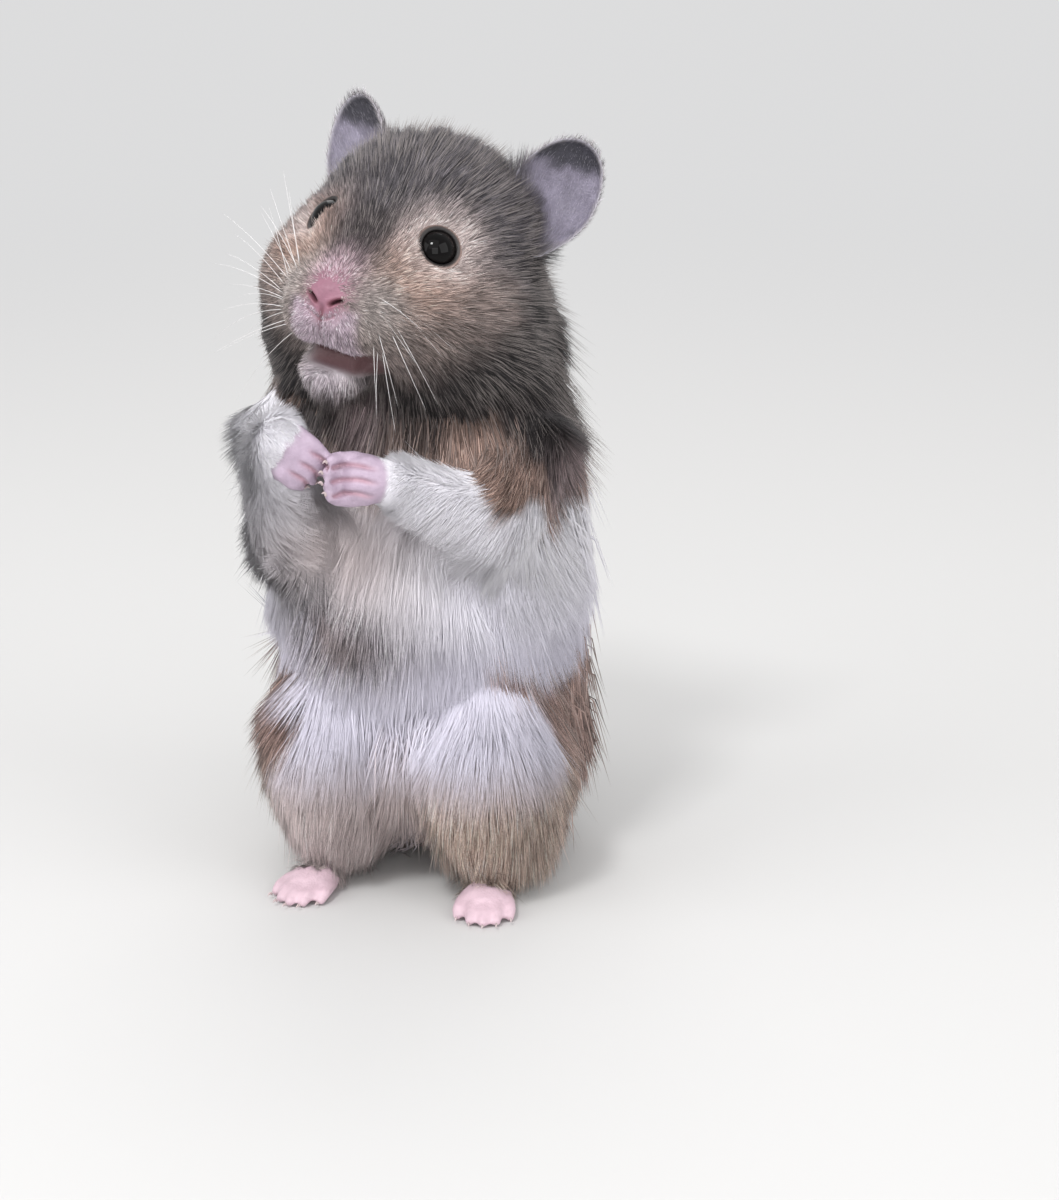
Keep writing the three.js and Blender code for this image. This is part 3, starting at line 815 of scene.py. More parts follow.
def eyelid(side):
    """Closed ring round the eye: an ellipse, thick up and wide along the slope from eyeball to skin, is
    carried round the eye's axis, and the skin's height h(f) = a0 + a1 cos f + b1 sin f + ... is fitted."""
    axis, centre, radius = LID_AXIS[side], centre_of("eye_" + side), eye_radius(side)
    level, upward = round_axis(axis)
    offset = (flesh_points - centre) / MM
    height, across, above = offset @ axis, offset @ level, offset @ upward
    distance = np.hypot(across, above)
    near = (distance > LID_SPAN[0]) & (distance < LID_SPAN[1]) & (height > -2)
    fit, *_ = np.linalg.lstsq(waves(np.arctan2(above, across)[near]), height[near], rcond=None)
    turn = np.linspace(0, 2 * np.pi, LID_SPOKES, endpoint=False)
    skin_height = waves(turn) @ fit
    inner_height = np.clip(0.35 * (skin_height + 0.6) + 0.65 * OPENING_HEIGHT, 0.7, 2.3)
    inner = np.stack([np.sqrt(radius**2 - inner_height**2) - 0.05, inner_height], -1)
    outer = np.stack([inner[:, 0] + LID_WIDTH, skin_height - 0.10], -1)
    half = (outer - inner) / 2
    crest = unit(np.stack([-half[:, 1], half[:, 0]], -1)) * LID_THICKNESS / 2
    phase = np.linspace(0, 2 * np.pi, LID_ROWS, endpoint=False)[:, None, None]
    section = (inner + outer) / 2 - half * np.cos(phase) + crest * np.sin(phase)
    points = centre + (section[..., :1] * ring_round(axis, turn) + section[..., 1:] * axis) * MM
    points = points.reshape(-1, 3)
    triangles = grid_triangles(LID_ROWS, LID_SPOKES, closed_rows=True)
    return points, outwards(points - centre, triangles), np.repeat(np.cos(phase.ravel()), LID_SPOKES)


lids = {side: eyelid(side) for side in SIDES}
print("eyelids", {side: len(lid[1]) for side, lid in lids.items()}, "triangles")

# %% Ears
EAR_SPOKES, EAR_ROWS = 80, 40
EAR_HALF_WIDTH, EAR_HALF_HEIGHT, EAR_CUP, EAR_THICKNESS = 7.2, 11.0, 3.4, 1.0
EAR_OUTWARD = {"left": 0.22, "right": 0.42}  # how far the hollow of each ear faces sideways
EAR_NARROWING = 0.2


def ear_axes(side):
    """Rows: away from the head, backwards through the leaf, and up along it."""
    sign = SIDES[side]
    back = unit([-EAR_OUTWARD[side] * sign, 0.95, -0.1]) @ HEAD_AXES
    up = np.array([0.36 * sign, 0.1, 0.93]) @ HEAD_AXES
    away = unit(np.cross(back, up)) * sign
    return np.array([away, back, unit(up - back * (up @ back))])


def leaf_spot(away, tall, centre, radii, lean=0):
    """Soft round spot on an ear's leaf, which leans outwards by a share of its height."""
    across, along = (away - centre[0] - lean * tall) / radii[0], (tall - centre[1]) / radii[1]
    return np.exp(-(across**2) - along**2)


def ear(side):
    """Closed leaf: rows run from the middle of the front over the rim (s = sin v = 1) to the middle of the
    back, the leaf stands forward by cup s^2, and soft spots make the canal, its folds and the rolled rim."""
    axes = ear_axes(side)
    points, _ = arrays_of(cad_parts["ear_" + side].data)
    reach = points @ axes.T / MM
    centre = np.array([reach[:, 0].max() - EAR_HALF_WIDTH, 0, reach[:, 2].max() - EAR_HALF_HEIGHT])
    centre[1] = reach[:, 1].max() - EAR_THICKNESS / 2
    v, turn = half_turn_grid(EAR_ROWS, EAR_SPOKES)
    s = np.sin(v) ** 0.8
    z = np.sin(turn) * s
    x = np.cos(turn) * s * (1 - EAR_NARROWING * np.maximum(-z, 0))
    away, tall = x * EAR_HALF_WIDTH, z * EAR_HALF_HEIGHT
    canal = leaf_spot(away, tall, (-0.8, -5.2), (2.4, 3.0))
    fold = leaf_spot(away, tall, (-3.9, -4.0), (1.2, 3.6), 0.15)
    ridge = leaf_spot(away, tall, (1.8, -2.5), (1.0, 4.0), 0.25)
    folds = np.sin(7 * turn + 2 * z) * s**2 * (1 - s) * 1.3
    rim = rise(s, 0.86, 1.0)
    back = -EAR_CUP * s**2 + 2.0 * canal - 1.5 * fold - 0.6 * ridge + 0.5 * folds - 0.5 * rim
    half = EAR_THICKNESS / 2 * (1 - 0.45 * rim) * np.sign(np.cos(v)) * np.abs(np.cos(v)) ** 0.5
    leaf = np.stack([away * (1 - 0.03 * rim), back - half, tall * (1 - 0.02 * rim)], -1)
    points, triangles = pole_grid((leaf + centre) * MM @ axes)
    place = np.concatenate([np.stack([away, tall, np.cos(v), s], -1)[1:-1].reshape(-1, 4),
                            [[0, 0, 1, 0], [0, 0, -1, 0]]])
    return points, outwards(points - points.mean(axis=0), triangles), place


ears = {side: ear(side) for side in SIDES}
print("ears", {side: len(leaf[1]) for side, leaf in ears.items()}, "triangles")

# %% [markdown]
# ## Markings
# This is a banded hamster: head and shoulders are grey-brown agouti with a warm tan round the eyes and a dark
# flash behind each cheek, a white band goes round the middle, and the rump and hips are brown again. One
# function of the place gives these colours, and both the skin and the coat use it. The same function paints
# shade into the fold between belly and thighs, and partly onto the chest under the hands.

# %% Noise and colours
def lattice(cells, seed):
    """A fixed random number between 0 and 1 for each whole-numbered cell (n, 3)."""
    mixed = (cells * np.array([73856093, 19349663, 83492791], np.int64)).sum(axis=-1) + seed * 2654435761
    mixed = (mixed ^ (mixed >> 13)) * 1274126177 & 0x7FFFFFFF
    return ((mixed ^ (mixed >> 16)) & 0xFFFF) / 0xFFFF


def noise(points, cell, seed):
    """Value noise from -1 to 1: random corner values of cubes of a size in millimetres, blended smoothly."""
    scaled = points / (cell * MM)
    base = np.floor(scaled).astype(np.int64)
    t = scaled - base
    t = t * t * (3 - 2 * t)
    total = np.zeros(len(points))
    for corner in np.ndindex(2, 2, 2):
        weight = np.prod(np.where(np.array(corner) == 1, t, 1 - t), axis=1)
        total += weight * lattice(base + np.array(corner), seed)
    return 2 * total - 1


def mix(first, second, share):
    """Colours (n, 3) part of the way from the first to the second."""
    share = np.clip(np.asarray(share), 0, 1)[:, None]
    return first + (np.asarray(second) - first) * share


COLOURS = {
    "crown": (0.078, 0.071, 0.078), "nape": (0.026, 0.023, 0.024), "tan": (0.42, 0.26, 0.20),
    "flash": (0.018, 0.015, 0.014), "brown": (0.27, 0.185, 0.155), "rump": (0.165, 0.125, 0.110),
    "white": (0.88, 0.86, 0.92), "lip": (0.45, 0.36, 0.42), "beige": (0.31, 0.275, 0.262),
    "bridge": (0.046, 0.038, 0.039), "cheek": (0.20, 0.16, 0.148), "stain": (0.46, 0.345, 0.29),
    "hip": (0.28, 0.190, 0.168), "throat": (0.21, 0.16, 0.165), "chin": (0.58, 0.52, 0.56),
    "pink": (0.44, 0.32, 0.36), "ring": (0.58, 0.49, 0.475), "shoulder": (0.32, 0.235, 0.24),
    # fold is painted shade between belly and thighs; chest is a warm tint, partly painted shade under the
    # hands
    "low": (0.70, 0.675, 0.78), "chest": (0.66, 0.56, 0.55), "fold": (0.18, 0.152, 0.157),
    "guard": (0.44, 0.39, 0.37), "whisker": (0.80, 0.78, 0.78),
    "bare_nose": (0.265, 0.122, 0.168), "bare_hand": (0.41, 0.32, 0.41), "bare_foot": (0.60, 0.44, 0.50),
    # deep, mouth and nostril are painted shade: round the nostrils, in the groove and on the lip line under
    # the nose, in the open mouth, and in the nostrils' slits
    # the finger grooves' colour is painted shade, darker and redder than the hand
    "crease_shade": (0.40, 0.22, 0.26), "deep": (0.22, 0.08, 0.10), "mouth": (0.085, 0.036, 0.040),
    "nostril": (0.05, 0.012, 0.018), "lid": (0.018, 0.015, 0.015), "lid_edge": (0.24, 0.17, 0.15),
    # the ear's dark top colour is painted shade, and it also darkens the canal
    "ear": (0.225, 0.205, 0.265), "ear_shade": (0.024, 0.024, 0.031), "ear_rim": (0.42, 0.40, 0.45),
    "ear_back": (0.13, 0.12, 0.13),
}
COLOURS = {name: np.array(colour) for name, colour in COLOURS.items()}
# Height of the collar's lower edge (mm) at bearings round the body: 0 is the front, 90 the animal's left.
COLLAR = [
    (-180, 66), (-150, 69), (-120, 76), (-95, 79), (-58, 79), (-52, 77), (-46, 72), (-42, 69), (-20, 68.5),
    (25, 68.5), (37, 69), (48, 70), (54, 67.5), (58, 63), (67, 60.3), (75, 58.5), (82, 61), (92, 64),
    (180, 64),
]
# Heights between which the rump and the hips are brown; in front, belly and thighs stay white.
BAND = [
    (-180, 38), (-80, 39.5), (-58, 39), (-46, 36), (-33, 34), (-26, 30), (-23, 20), (-20, -20), (25, -20),
    (30, 30), (34, 39), (39, 40.5), (50, 39), (67, 36), (80, 36), (100, 38), (180, 38),
]
HIP = [
    (-180, -20), (-75, -20), (-55, 8), (-48, 15), (-40, 20), (-29, 26.5), (-26, 30), (-22, 40), (20, 60),
    (30, 45), (37, 39.3), (44, 36.9), (53, 33.7), (58.7, 28.5), (63, 24.6), (72, 10), (80, -20), (180, -20),
]
# name: strength, centre and radii (mm) of soft spots on the body, in the model's frame
# the fold spot is painted shade in the crease between belly and thighs; the chest spot is a warm tint, partly
# painted shade under the hands
BODY_SPOTS = {
    "throat": (1.2, (-6, -20, 78), (4, 9, 6)), "shoulder": (1.0, (27, -8, 68), (7, 9, 7)),
    "chest": (0.85, (-7, -27, 61), (13, 10, 11)), "fold": (1.1, (-8, -25, 45.5), (14, 13, 7.5)),
}
# name: strength, raggedness, centre and radii (mm) of spots that lie alike on both sides of the head
HEAD_SPOTS = {
    "tan": (1.2, 0.5, (10.0, -4.0, -3.0), (5.5, 7.5, 6.0)), "beige": (0.9, 0, (8.5, -12, -8), (5.5, 6, 7)),
    "pink": (1.3, 0, (0, -13.5, -5.0), (3.6, 5.0, 3.6)), "flash": (1.1, 0.6, (16, 7, -20), (8.5, 10, 8)),
}
# side: how far behind its middle the white of a forearm starts, and the distances over which it ends (mm)
SLEEVE_WHITE = {"left": (0.2, 6.0, 7.5), "right": (0.8, 10.0, 12.5)}
SHOULDER_WHITE, SHOULDER_TOP = (52, 60), (83.5, 86)  # bearings to the right, and heights (mm), of its edges
HEAD_CENTRE, HEAD_STRETCH, HEAD_REACH = (0, 5, -2), (1, 1.12, 1), 24


def layered(colour, layers):
    """Colours with layers laid over them in turn: each is a colour or its name, and the share of it. The
    first is colours (n, 3), or the name of one."""
    if isinstance(colour, str):
        colour = np.tile(COLOURS[colour], (len(layers[0][1]), 1))
    for over, share in layers:
        colour = mix(colour, COLOURS[over] if isinstance(over, str) else over, share)
    return colour


def bearing_of(points):
    """Degrees round the body from the front, positive to the animal's left."""
    return np.degrees(np.arctan2(points[:, 0], -points[:, 1]))


def forearm_share(points):
    """1 near the line from an elbow to its hand and on the right shoulder, where the coat is white."""
    share = np.zeros(len(points))
    for side, (behind, full, none) in SLEEVE_WHITE.items():
        hand, lower = centre_of("hand_" + side), centre_of("forearm_" + side)
        elbow = lower + (lower - hand) * behind
        t = np.clip((points - elbow) @ (hand - elbow) / ((hand - elbow) @ (hand - elbow)), 0, 0.9)
        gap = np.linalg.norm(points - elbow - t[:, None] * (hand - elbow), axis=1) / MM
        share = np.maximum(share, 1 - rise(gap, full, none))
    shoulder = rise(-bearing_of(points), *SHOULDER_WHITE) * rise(bearing_of(points), -100, -92)
    return np.maximum(share, shoulder * (1 - rise(points[:, 2] / MM, *SHOULDER_TOP)))


def markings(points, sleeve=None):
    """Coat colour (n, 3) at points on or in the coat; sleeve is the share of a white arm in each."""
    sleeve = forearm_share(points) if sleeve is None else sleeve
    x, y, z = points.T / MM
    bearing = bearing_of(points)
    ragged = 1.6 * noise(points, 5, 1) + 0.9 * noise(points, 1.6, 2)
    above = z - np.interp(bearing, *zip(*COLLAR)) + ragged - 30 * sleeve
    below_band, above_hip = np.interp(bearing, *zip(*BAND)) - z, z - np.interp(bearing, *zip(*HIP))
    in_hip = np.minimum(below_band + ragged, above_hip + 1.5 * ragged)
    spot = {name: full * blob(points / MM, *place) for name, (full, *place) in BODY_SPOTS.items()}
    colour = layered("white", (
        ("low", 1 - rise(z, 40, 56)),
        ("brown", rise(above, -1.2, 1.5)),
        ("nape", rise(above - 3.0 * rise(bearing, -30, 0), 2.0, 6.5)),
        ("throat", spot["throat"]),
        ("shoulder", spot["shoulder"] * rise(above, 0, 2)),
        # painted shade: partly on the chest under the hands, and in the fold between belly and thighs
        ("chest", spot["chest"]),
        ("fold", spot["fold"]),
        ("crown", rise(y, 8, 26) * rise(above, 3, 10) * 0.75),
        (COLOURS["hip"] * (1 - 0.35 * rise(-bearing, 10, 30))[:, None], rise(in_hip, -1.5, 2.0)),
        ("rump", rise(in_hip, 4, 14) * rise(y, 2, 22)),
        ("stain", (1 - rise(z, 15, 29)) * rise(-y, -5, 10) * (0.7 + 0.3 * rise(x, 0, 8))),
    ))
    return head_markings(points, colour)


def head_markings(points, colour):
    """The body's colours with those of the head laid over them, where the points are on the head."""
    places = in_head(points)
    x, y, z = places.T
    sided = np.column_stack([np.abs(x), y, z])
    from_middle = np.linalg.norm((places - HEAD_CENTRE) / HEAD_STRETCH, axis=1)
    chin = 1.3 * blob(places, (-1, -7, -23), (6.5, 5.5, 4.0))
    on_head = np.maximum(rise(HEAD_REACH - from_middle, -2, 3) * rise(z, -26, -20), chin)
    wide = (1.6 * noise(points, 4, 3) + 0.8 * noise(points, 1.2, 4))[:, None]
    spot = {}
    for name, (full, rough, *place) in HEAD_SPOTS.items():
        spot[name] = full * blob(sided + wide * rough, *place)
    from_eye = np.linalg.norm(sided - [9.6, 0.7, 0.2] + wide * 0.3, axis=1)
    far_top = rise(-x, 0, 4) * rise(z, -1, 3)
    middle = 0.9 * np.exp(-((x / 4.0) ** 4))
    tone = layered("crown", (
        ("cheek", rise(-z, -2, 5) * rise(-y, -16, -4)),
        ("nape", rise(-z, -6, 3) * rise(y, 9, 17)),
        ("tan", spot["tan"]),
        ("ring", 0.85 * np.exp(-((from_eye / 7.5) ** 4)) * (1 - 0.85 * far_top)),
        ("beige", spot["beige"]),
        ("bridge", middle * rise(z, -5, -2.5) * rise(-y, 0, 4) * rise(-z, -7, -3)),
        ("pink", spot["pink"]),
        ("flash", spot["flash"]),
        ("lip", rise(-z, 9.0, 11.0) * rise(-y, 7.5, 11) * rise(-np.abs(x), -7.0, -4.5)),
        ("chin", 1.3 * blob(places, (-1, -7, -22.5), (5.5, 5, 4.0))),
    ))
    return mix(colour, tone, on_head)


print("markings at the crown", np.round(markings(from_head([[0, 8, 12]])), 2).tolist())

# %% [markdown]
# ## The skin, joined
# Flesh, eyelids and ears become one object. Its colour is held at the points: bare pink on the nose, hands
# and feet, lilac in the ears, and elsewhere the markings of the coat, as the undercoat shows between hairs.

# %% Skin colours
def flesh_colours(points):
    """The coat's markings, darker, with the bare pink of nose, hands and feet laid over them, and painted
    shade in and round the nostrils, in the groove and on the lip line under the nose, in the open mouth and
    in the finger grooves.
    """
    _, y, z, sided = sides_of_face(points)
    beside = sided[:, 0]
    u, v = nostril_lines(beside, z)
    front = rise(-y, 11, 13)
    pad = 1.5 * blob(sided, (0, -16, -8.4), (3.5, 4.5, 3.4))
    bridge = 0.9 * blob(sided, (0, -14.0, -5.2), (2.8, 3.4, 2.8))
    groove = 0.7 * front * np.exp(-((beside / 0.5) ** 2)) * rise(z, -15.6, -14.6) * rise(-z, 9.6, 11.6)
    return layered(markings(points) * 0.8, (
        ("bare_nose", pad + bridge),
        # painted shade: deep darkens round the nostrils, in the groove under the nose and on the lip line,
        # and nostril darkens the slits
        ("deep", 0.7 * front * streak(u, v, 1.5, 0.6)),
        ("nostril", 1.2 * front * streak(u, v, 1.05, 0.24)),
        ("deep", groove),
        ("deep", 0.5 * front * streak(beside, z + 12.2 - 0.5 * beside, 2.6, 0.4)),
        # painted shade: the open mouth is painted nearly black
        ("mouth", mouth_share(points)),
        ("bare_hand", traits[:, HAND]),
        # painted shade: the finger grooves are darker and redder
        ("crease_shade", 0.7 * finger_grooves(points, traits[:, HAND])),
        ("bare_foot", traits[:, FOOT]),
    ))


def lid_colours(height):
    """Dark along the eye and paler where a lid meets the fur; height is 1 at the eye, -1 at the fur."""
    return layered("lid_edge", [("lid", rise(height, -0.55, -0.1))])


def ear_colours(place, points):
    """Lilac in front with a dark top and a dark canal, both painted shade, and a pale rim, grey behind; place
    holds away, tall, side and s.
    """
    away, tall, facing, s = place.T
    # painted shade: the upper part of the ear's front is darkened
    cap = tall - 0.35 * away + 0.8 * noise(points, 1.6, 8)
    front = layered("ear", [("ear_shade", 0.9 * rise(cap, 4.6, 7.0))])
    front *= (1 + 0.22 * noise(points, 1.1, 9))[:, None]
    # painted shade: the canal is darkened towards the dark top's colour
    canal = 0.55 * leaf_spot(away, tall, (-0.8, -5.4), (2.2, 2.6))
    return layered("ear_back", (
        (mix(front, COLOURS["ear_shade"], canal), rise(facing, -0.1, 0.1)),
        ("ear_rim", rise(s, 0.93, 0.985)),
    ))


skin_points, skin_triangles = joined(
    [(flesh_points, flesh_triangles)] + [lids[s][:2] for s in SIDES] + [ears[s][:2] for s in SIDES]
)
skin_colours = np.concatenate(
    [flesh_colours(flesh_points)]
    + [lid_colours(lids[s][2]) for s in SIDES]
    + [ear_colours(ears[s][2], ears[s][0]) for s in SIDES]
)
skin_colours *= (1 + 0.10 * noise(skin_points, 2.0, 5) + 0.06 * noise(skin_points, 0.5, 6))[:, None]

# %% [markdown]
# Its unwrap, OFBake, is cut where the surface turns, and the coat's tufts take their places on it.

# %% Skin object and unwrap
UNWRAP_ANGLE = math.radians(66)


def paint(mesh, name, colours):
    """Store colours (n, 3) at the points of a mesh, as an attribute that a material can read."""
    layer = mesh.color_attributes.new(name, "FLOAT_COLOR", "POINT")
    layer.data.foreach_set("color", np.column_stack([colours, np.ones(len(colours))]).ravel())


def unwrap(thing):
    """Smart unwrap of the whole mesh: one flat island for each patch of like-facing triangles."""
    thing.data.uv_layers.new(name="OFBake")
    bpy.context.view_layer.objects.active = thing
    thing.select_set(True)
    bpy.ops.object.mode_set(mode="EDIT")
    bpy.ops.mesh.select_all(action="SELECT")
    bpy.ops.uv.smart_project(angle_limit=UNWRAP_ANGLE, island_margin=0.002)
    bpy.ops.object.mode_set(mode="OBJECT")
    places = np.empty(len(thing.data.loops) * 2)
    thing.data.uv_layers["OFBake"].data.foreach_get("uv", places)
    return places.reshape(-1, 3, 2)


skin = mesh_object("skin", skin_points, skin_triangles)
paint(skin.data, "tone", np.clip(skin_colours, 0, 1))
skin_uv = unwrap(skin)
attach(skin, "root")
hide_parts(*FLESH, "ear_left", "ear_right")
print("skin", len(skin_triangles), "triangles, unwrapped")

# %% Skin material
CREASE_SCALE, PORE_SCALE, BUMP_DEPTH = 2600, 5200, 0.12 * MM


def tone_of(tree):
    """Output with the colours that are painted at the points."""
    painted = add_node(tree, "Attribute")
    painted.attribute_name = "tone"
    return painted.outputs["Color"]


def skin_material():
    """Colour from the points, fine creases and pores as bump, and the soft gloss of thin skin."""
    material, tree, shader = principled("bare_skin", {"Roughness": 0.46, "Specular IOR Level": 0.4})
    place = object_place(tree)
    creases = add_node(tree, "TexVoronoi", {"Vector": place, "Scale": CREASE_SCALE})
    pores = add_node(tree, "TexNoise", {"Vector": place, "Scale": PORE_SCALE})
    relief = add_node(tree, "Math", {0: creases.outputs["Distance"], 1: pores.outputs["Fac"]})
    relief.operation = "ADD"
    bump = add_node(tree, "Bump", {"Strength": 0.35, "Distance": BUMP_DEPTH})
    tree.links.new(relief.outputs["Value"], bump.inputs["Height"])
    set_inputs(tree, shader, {"Base Color": tone_of(tree), "Normal": bump.outputs["Normal"]})
    return material


skin.data.materials.append(skin_material())

# %% [markdown]
# ## Eyes and claws
# The eyes are glossy black balls. The claws are thin curved horns that taper from the toe to a point.

# %% Eyes
EYE_SPOKES, EYE_ROWS, EYE_CLOUD_SCALE = 64, 34, 600
EYE_TONES = (0.0006, 0.0006, 0.0008), (0.003, 0.002, 0.002)


def ball(centre, radius):
    """Sphere: latitude t from pole to pole and longitude f give (sin t cos f, sin t sin f, cos t)."""
    t, f = half_turn_grid(EYE_ROWS, EYE_SPOKES)
    sphere = np.stack([np.sin(t) * np.cos(f), np.sin(t) * np.sin(f), np.cos(t)], -1)
    return pole_grid(centre + radius * sphere)


def speckled(name, scale, first, second, values):
    """A material whose colour drifts between two tones by a noise in the object's own coordinates."""
    material, tree, shader = principled(name, values)
    cloud = add_node(tree, "TexNoise", {"Vector": object_place(tree), "Scale": scale})
    tint = add_node(tree, "ValToRGB", {"Fac": cloud.outputs["Fac"]})
    for stop, colour in zip(tint.color_ramp.elements, (first, second)):
        stop.color = (*colour, 1)
    tree.links.new(tint.outputs["Color"], shader.inputs["Base Color"])
    return material


wet_eye = speckled("wet_eye", EYE_CLOUD_SCALE, *EYE_TONES, {"Roughness": 0.02, "IOR": 1.25})
for side in SIDES:
    eye = mesh_object("eyeball_" + side, *ball(centre_of("eye_" + side), eye_radius(side) * MM))
    eye.data.materials.append(wet_eye)
    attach(eye, "root")
    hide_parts("eye_" + side)
print("eyes of radius", round(eye_radius("left"), 2), "mm")

# %% Claws
CLAW_ROWS, CLAW_SPOKES, HORN_CLOUD_SCALE = 9, 10, 1500
HORN_TONES = (0.46, 0.36, 0.36), (0.62, 0.52, 0.52)
CLAW_SHARE = 0.62  # of the solid's length that the horn fills
CLAW_CURL = 0.16  # how far the middle of a claw bows away from the straight line, as a share of its length


def claw(node, limb_centre):
    """Horn along an arc: the path is root + t (tip - root) + 4 curl t (1 - t) up, and the radius falls from
    the root's as (1 - t)^0.7."""
    points, _ = arrays_of(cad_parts[node].data)
    far = np.linalg.norm(points - limb_centre, axis=1)
    tip = points[far.argmax()]
    from_tip = np.linalg.norm(points - tip, axis=1)
    root_points = points[from_tip > 0.8 * from_tip.max()]
    root = root_points.mean(axis=0)
    along = tip - root
    thick = np.linalg.norm(np.cross(root_points - root, unit(along)), axis=1).max()
    up = flat_on(np.array([[0, 0, 1.0]]), unit(along)[None])[0]
    across = np.cross(unit(along), up)
    t = np.linspace(-0.12, 1, CLAW_ROWS)[:, None, None]
    f = turns(CLAW_SPOKES)[None, :, None]
    bow = 4 * CLAW_CURL * np.linalg.norm(along) * np.clip(t, 0, 1) * (1 - np.clip(t, 0, 1))
    radius = thick * 0.6 * np.clip(1 - t, 0, 1) ** 0.7 * (t > -0.1)
    path = root + CLAW_SHARE * t * along + bow * up
    return pole_grid(path + radius * (np.cos(f) * up * 1.15 + np.sin(f) * across * 0.85))


horn = speckled("horn", HORN_CLOUD_SCALE, *HORN_TONES, {"Roughness": 0.3})
for limb, digits in (("hand", "finger"), ("foot", "toe")):
    for side in SIDES:
        nodes_of_limb = [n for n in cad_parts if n.startswith(f"{digits}_claw_{side}")]
        limb_centre = centre_of(f"{limb}_{side}")
        claws = mesh_object(f"{digits}_claws_{side}", *joined([claw(n, limb_centre) for n in nodes_of_limb]))
        claws.data.materials.append(horn)
        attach(claws, "root")
        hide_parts(*nodes_of_limb)
        print(claws.name, len(nodes_of_limb), "claws", len(claws.data.polygons), "triangles")

# %% [markdown]
# ## The coat
# Fur can be made as particle hair or as curves, but a model that leaves Blender keeps only meshes. So each
# tuft is a small closed solid with a three-sided root and a point, and on the back and the rump, where tufts
# are long, a three-sided bend between them. Arrays place them all at once. A tuft starts rather upright,
# bends over, and lies along the body under its neighbours.

# %% Roots
TUFT_SEED = 7
MOUTH_LIMIT, LID_LIMIT = 0.25, 4.0
# name: how many tufts, their width (mm), clump size (mm), how far clumps draw tips together, how much
# steeper they stand, how many are guard hairs, whether they are bent, how far their normals turn towards the
# skin's (the more, the softer and evener they look), slot name
COATS = {
    "coat_face": (46000, 0.15, 1.2, 0.28, 1.5, 0.06, False, 0.68, "coat_grey_brown"),
    "coat_crown": (38000, 0.19, 1.8, 0.44, 1.8, 0.09, False, 0.68, "coat_grey_brown"),
    "coat_cheeks": (46000, 0.19, 2.2, 0.46, 1.5, 0.08, False, 0.68, "coat_grey_brown"),
    "coat_collar": (46000, 0.20, 2.6, 0.38, 1.1, 0.05, False, 0.68, "coat_grey_brown"),
    "coat_arms": (42000, 0.18, 2.2, 0.20, 1.0, 0.01, False, 0.62, "coat_white"),
    "coat_chest": (40000, 0.20, 2.6, 0.22, 1.0, 0.01, False, 0.82, "coat_white"),
    "coat_back": (11000, 0.27, 3.2, 0.30, 1.0, 0.01, True, 0.84, "coat_white"),
    "coat_rump": (11000, 0.27, 3.2, 0.30, 1.0, 0.03, True, 0.68, "coat_grey_brown"),
    "coat_thighs": (42000, 0.20, 2.4, 0.24, 1.0, 0.01, False, 0.82, "coat_white"),
    "coat_ears": (12000, 0.10, 1.0, 0.10, 1.0, 0.0, False, 0.6, "ear_skin"),
}
NORMAL_ROUNDS = 10
EAR_FUR, EAR_RIM_FUR, EAR_BASE_FUR = 0.25, 0.40, 2.3  # depths in mm inside an ear, on its rim, at its foot
EAR_FOOT, EAR_EDGE = 4, 5  # columns of the traits, which on an ear hold its foot and its edge instead


def ear_traits(side):
    """Traits at the points of an ear: short hair that grows away from the ear's foot, longer on the rim."""
    points, _, place = ears[side]
    away, tall, facing, s = place.T
    foot = centre_of("ear_" + side) - ear_axes(side)[2] * EAR_HALF_HEIGHT * 1.3 * MM
    fur = EAR_FUR + EAR_RIM_FUR * np.maximum(rise(s, 0.8, 1), 0.6 * (facing < 0))
    at_foot = 1 - rise(tall + 0.9 * away, -9, -1)
    values = np.zeros((len(points), traits.shape[1]))
    values[:, DEPTH], values[:, FLOW] = fur + EAR_BASE_FUR * at_foot, unit(points - foot)
    values[:, EAR_FOOT], values[:, EAR_EDGE] = at_foot, rise(s, 0.85, 1)
    return values


skin_normals = normals_of(skin_points, skin_triangles)
skin_normals = unit(smoothed(skin_normals, edges_of(skin_triangles), NORMAL_ROUNDS, 0.5))
lid_count = sum(len(lid[0]) for lid in lids.values())
bare_lids = np.zeros((lid_count, traits.shape[1]))
skin_traits = np.concatenate([traits, bare_lids] + [ear_traits(s) for s in SIDES])
is_ear = (skin_triangles >= len(traits) + lid_count).all(axis=1)
is_lid = (skin_triangles >= len(traits)).all(axis=1) & ~is_ear


def region_of(points, of_point):
    """Name of the coat piece for places with their traits; an empty name where no fur grows."""
    _, y, z = points.T / MM
    head = in_head(points)
    hand, foot, thigh, arm, on_head, neck = of_point[:, HAND:].T
    name = np.full(len(points), "coat_chest", "U12")
    name[y > 0] = "coat_back"
    name[z < 38] = "coat_rump"
    name[(z > 76) | (neck > 0.5)] = "coat_collar"
    name[(thigh > 0.5) | (foot > 0.3)] = "coat_thighs"
    name[arm > 0.5] = "coat_arms"
    name[on_head > 0.5] = "coat_face"
    name[(on_head > 0.5) & (head[:, 1] > 2)] = "coat_crown"
    name[(on_head > 0.5) & (head[:, 1] > 2) & (head[:, 2] < 0)] = "coat_cheeks"
    pad = blob(np.abs(head - [FACE_MIDDLE, 0, 0]) * [1, -1, -1], (0, -16, -8.4), (2.6, 3.6, 2.5))
    bare = (hand > 0.75) | (foot > 0.93) | (pad > 0.42) | (mouth_share(points) > MOUTH_LIMIT)
    for side in SIDES:
        bare |= from_node(points, "eye_" + side) < LID_LIMIT
    name[bare] = ""
    return name


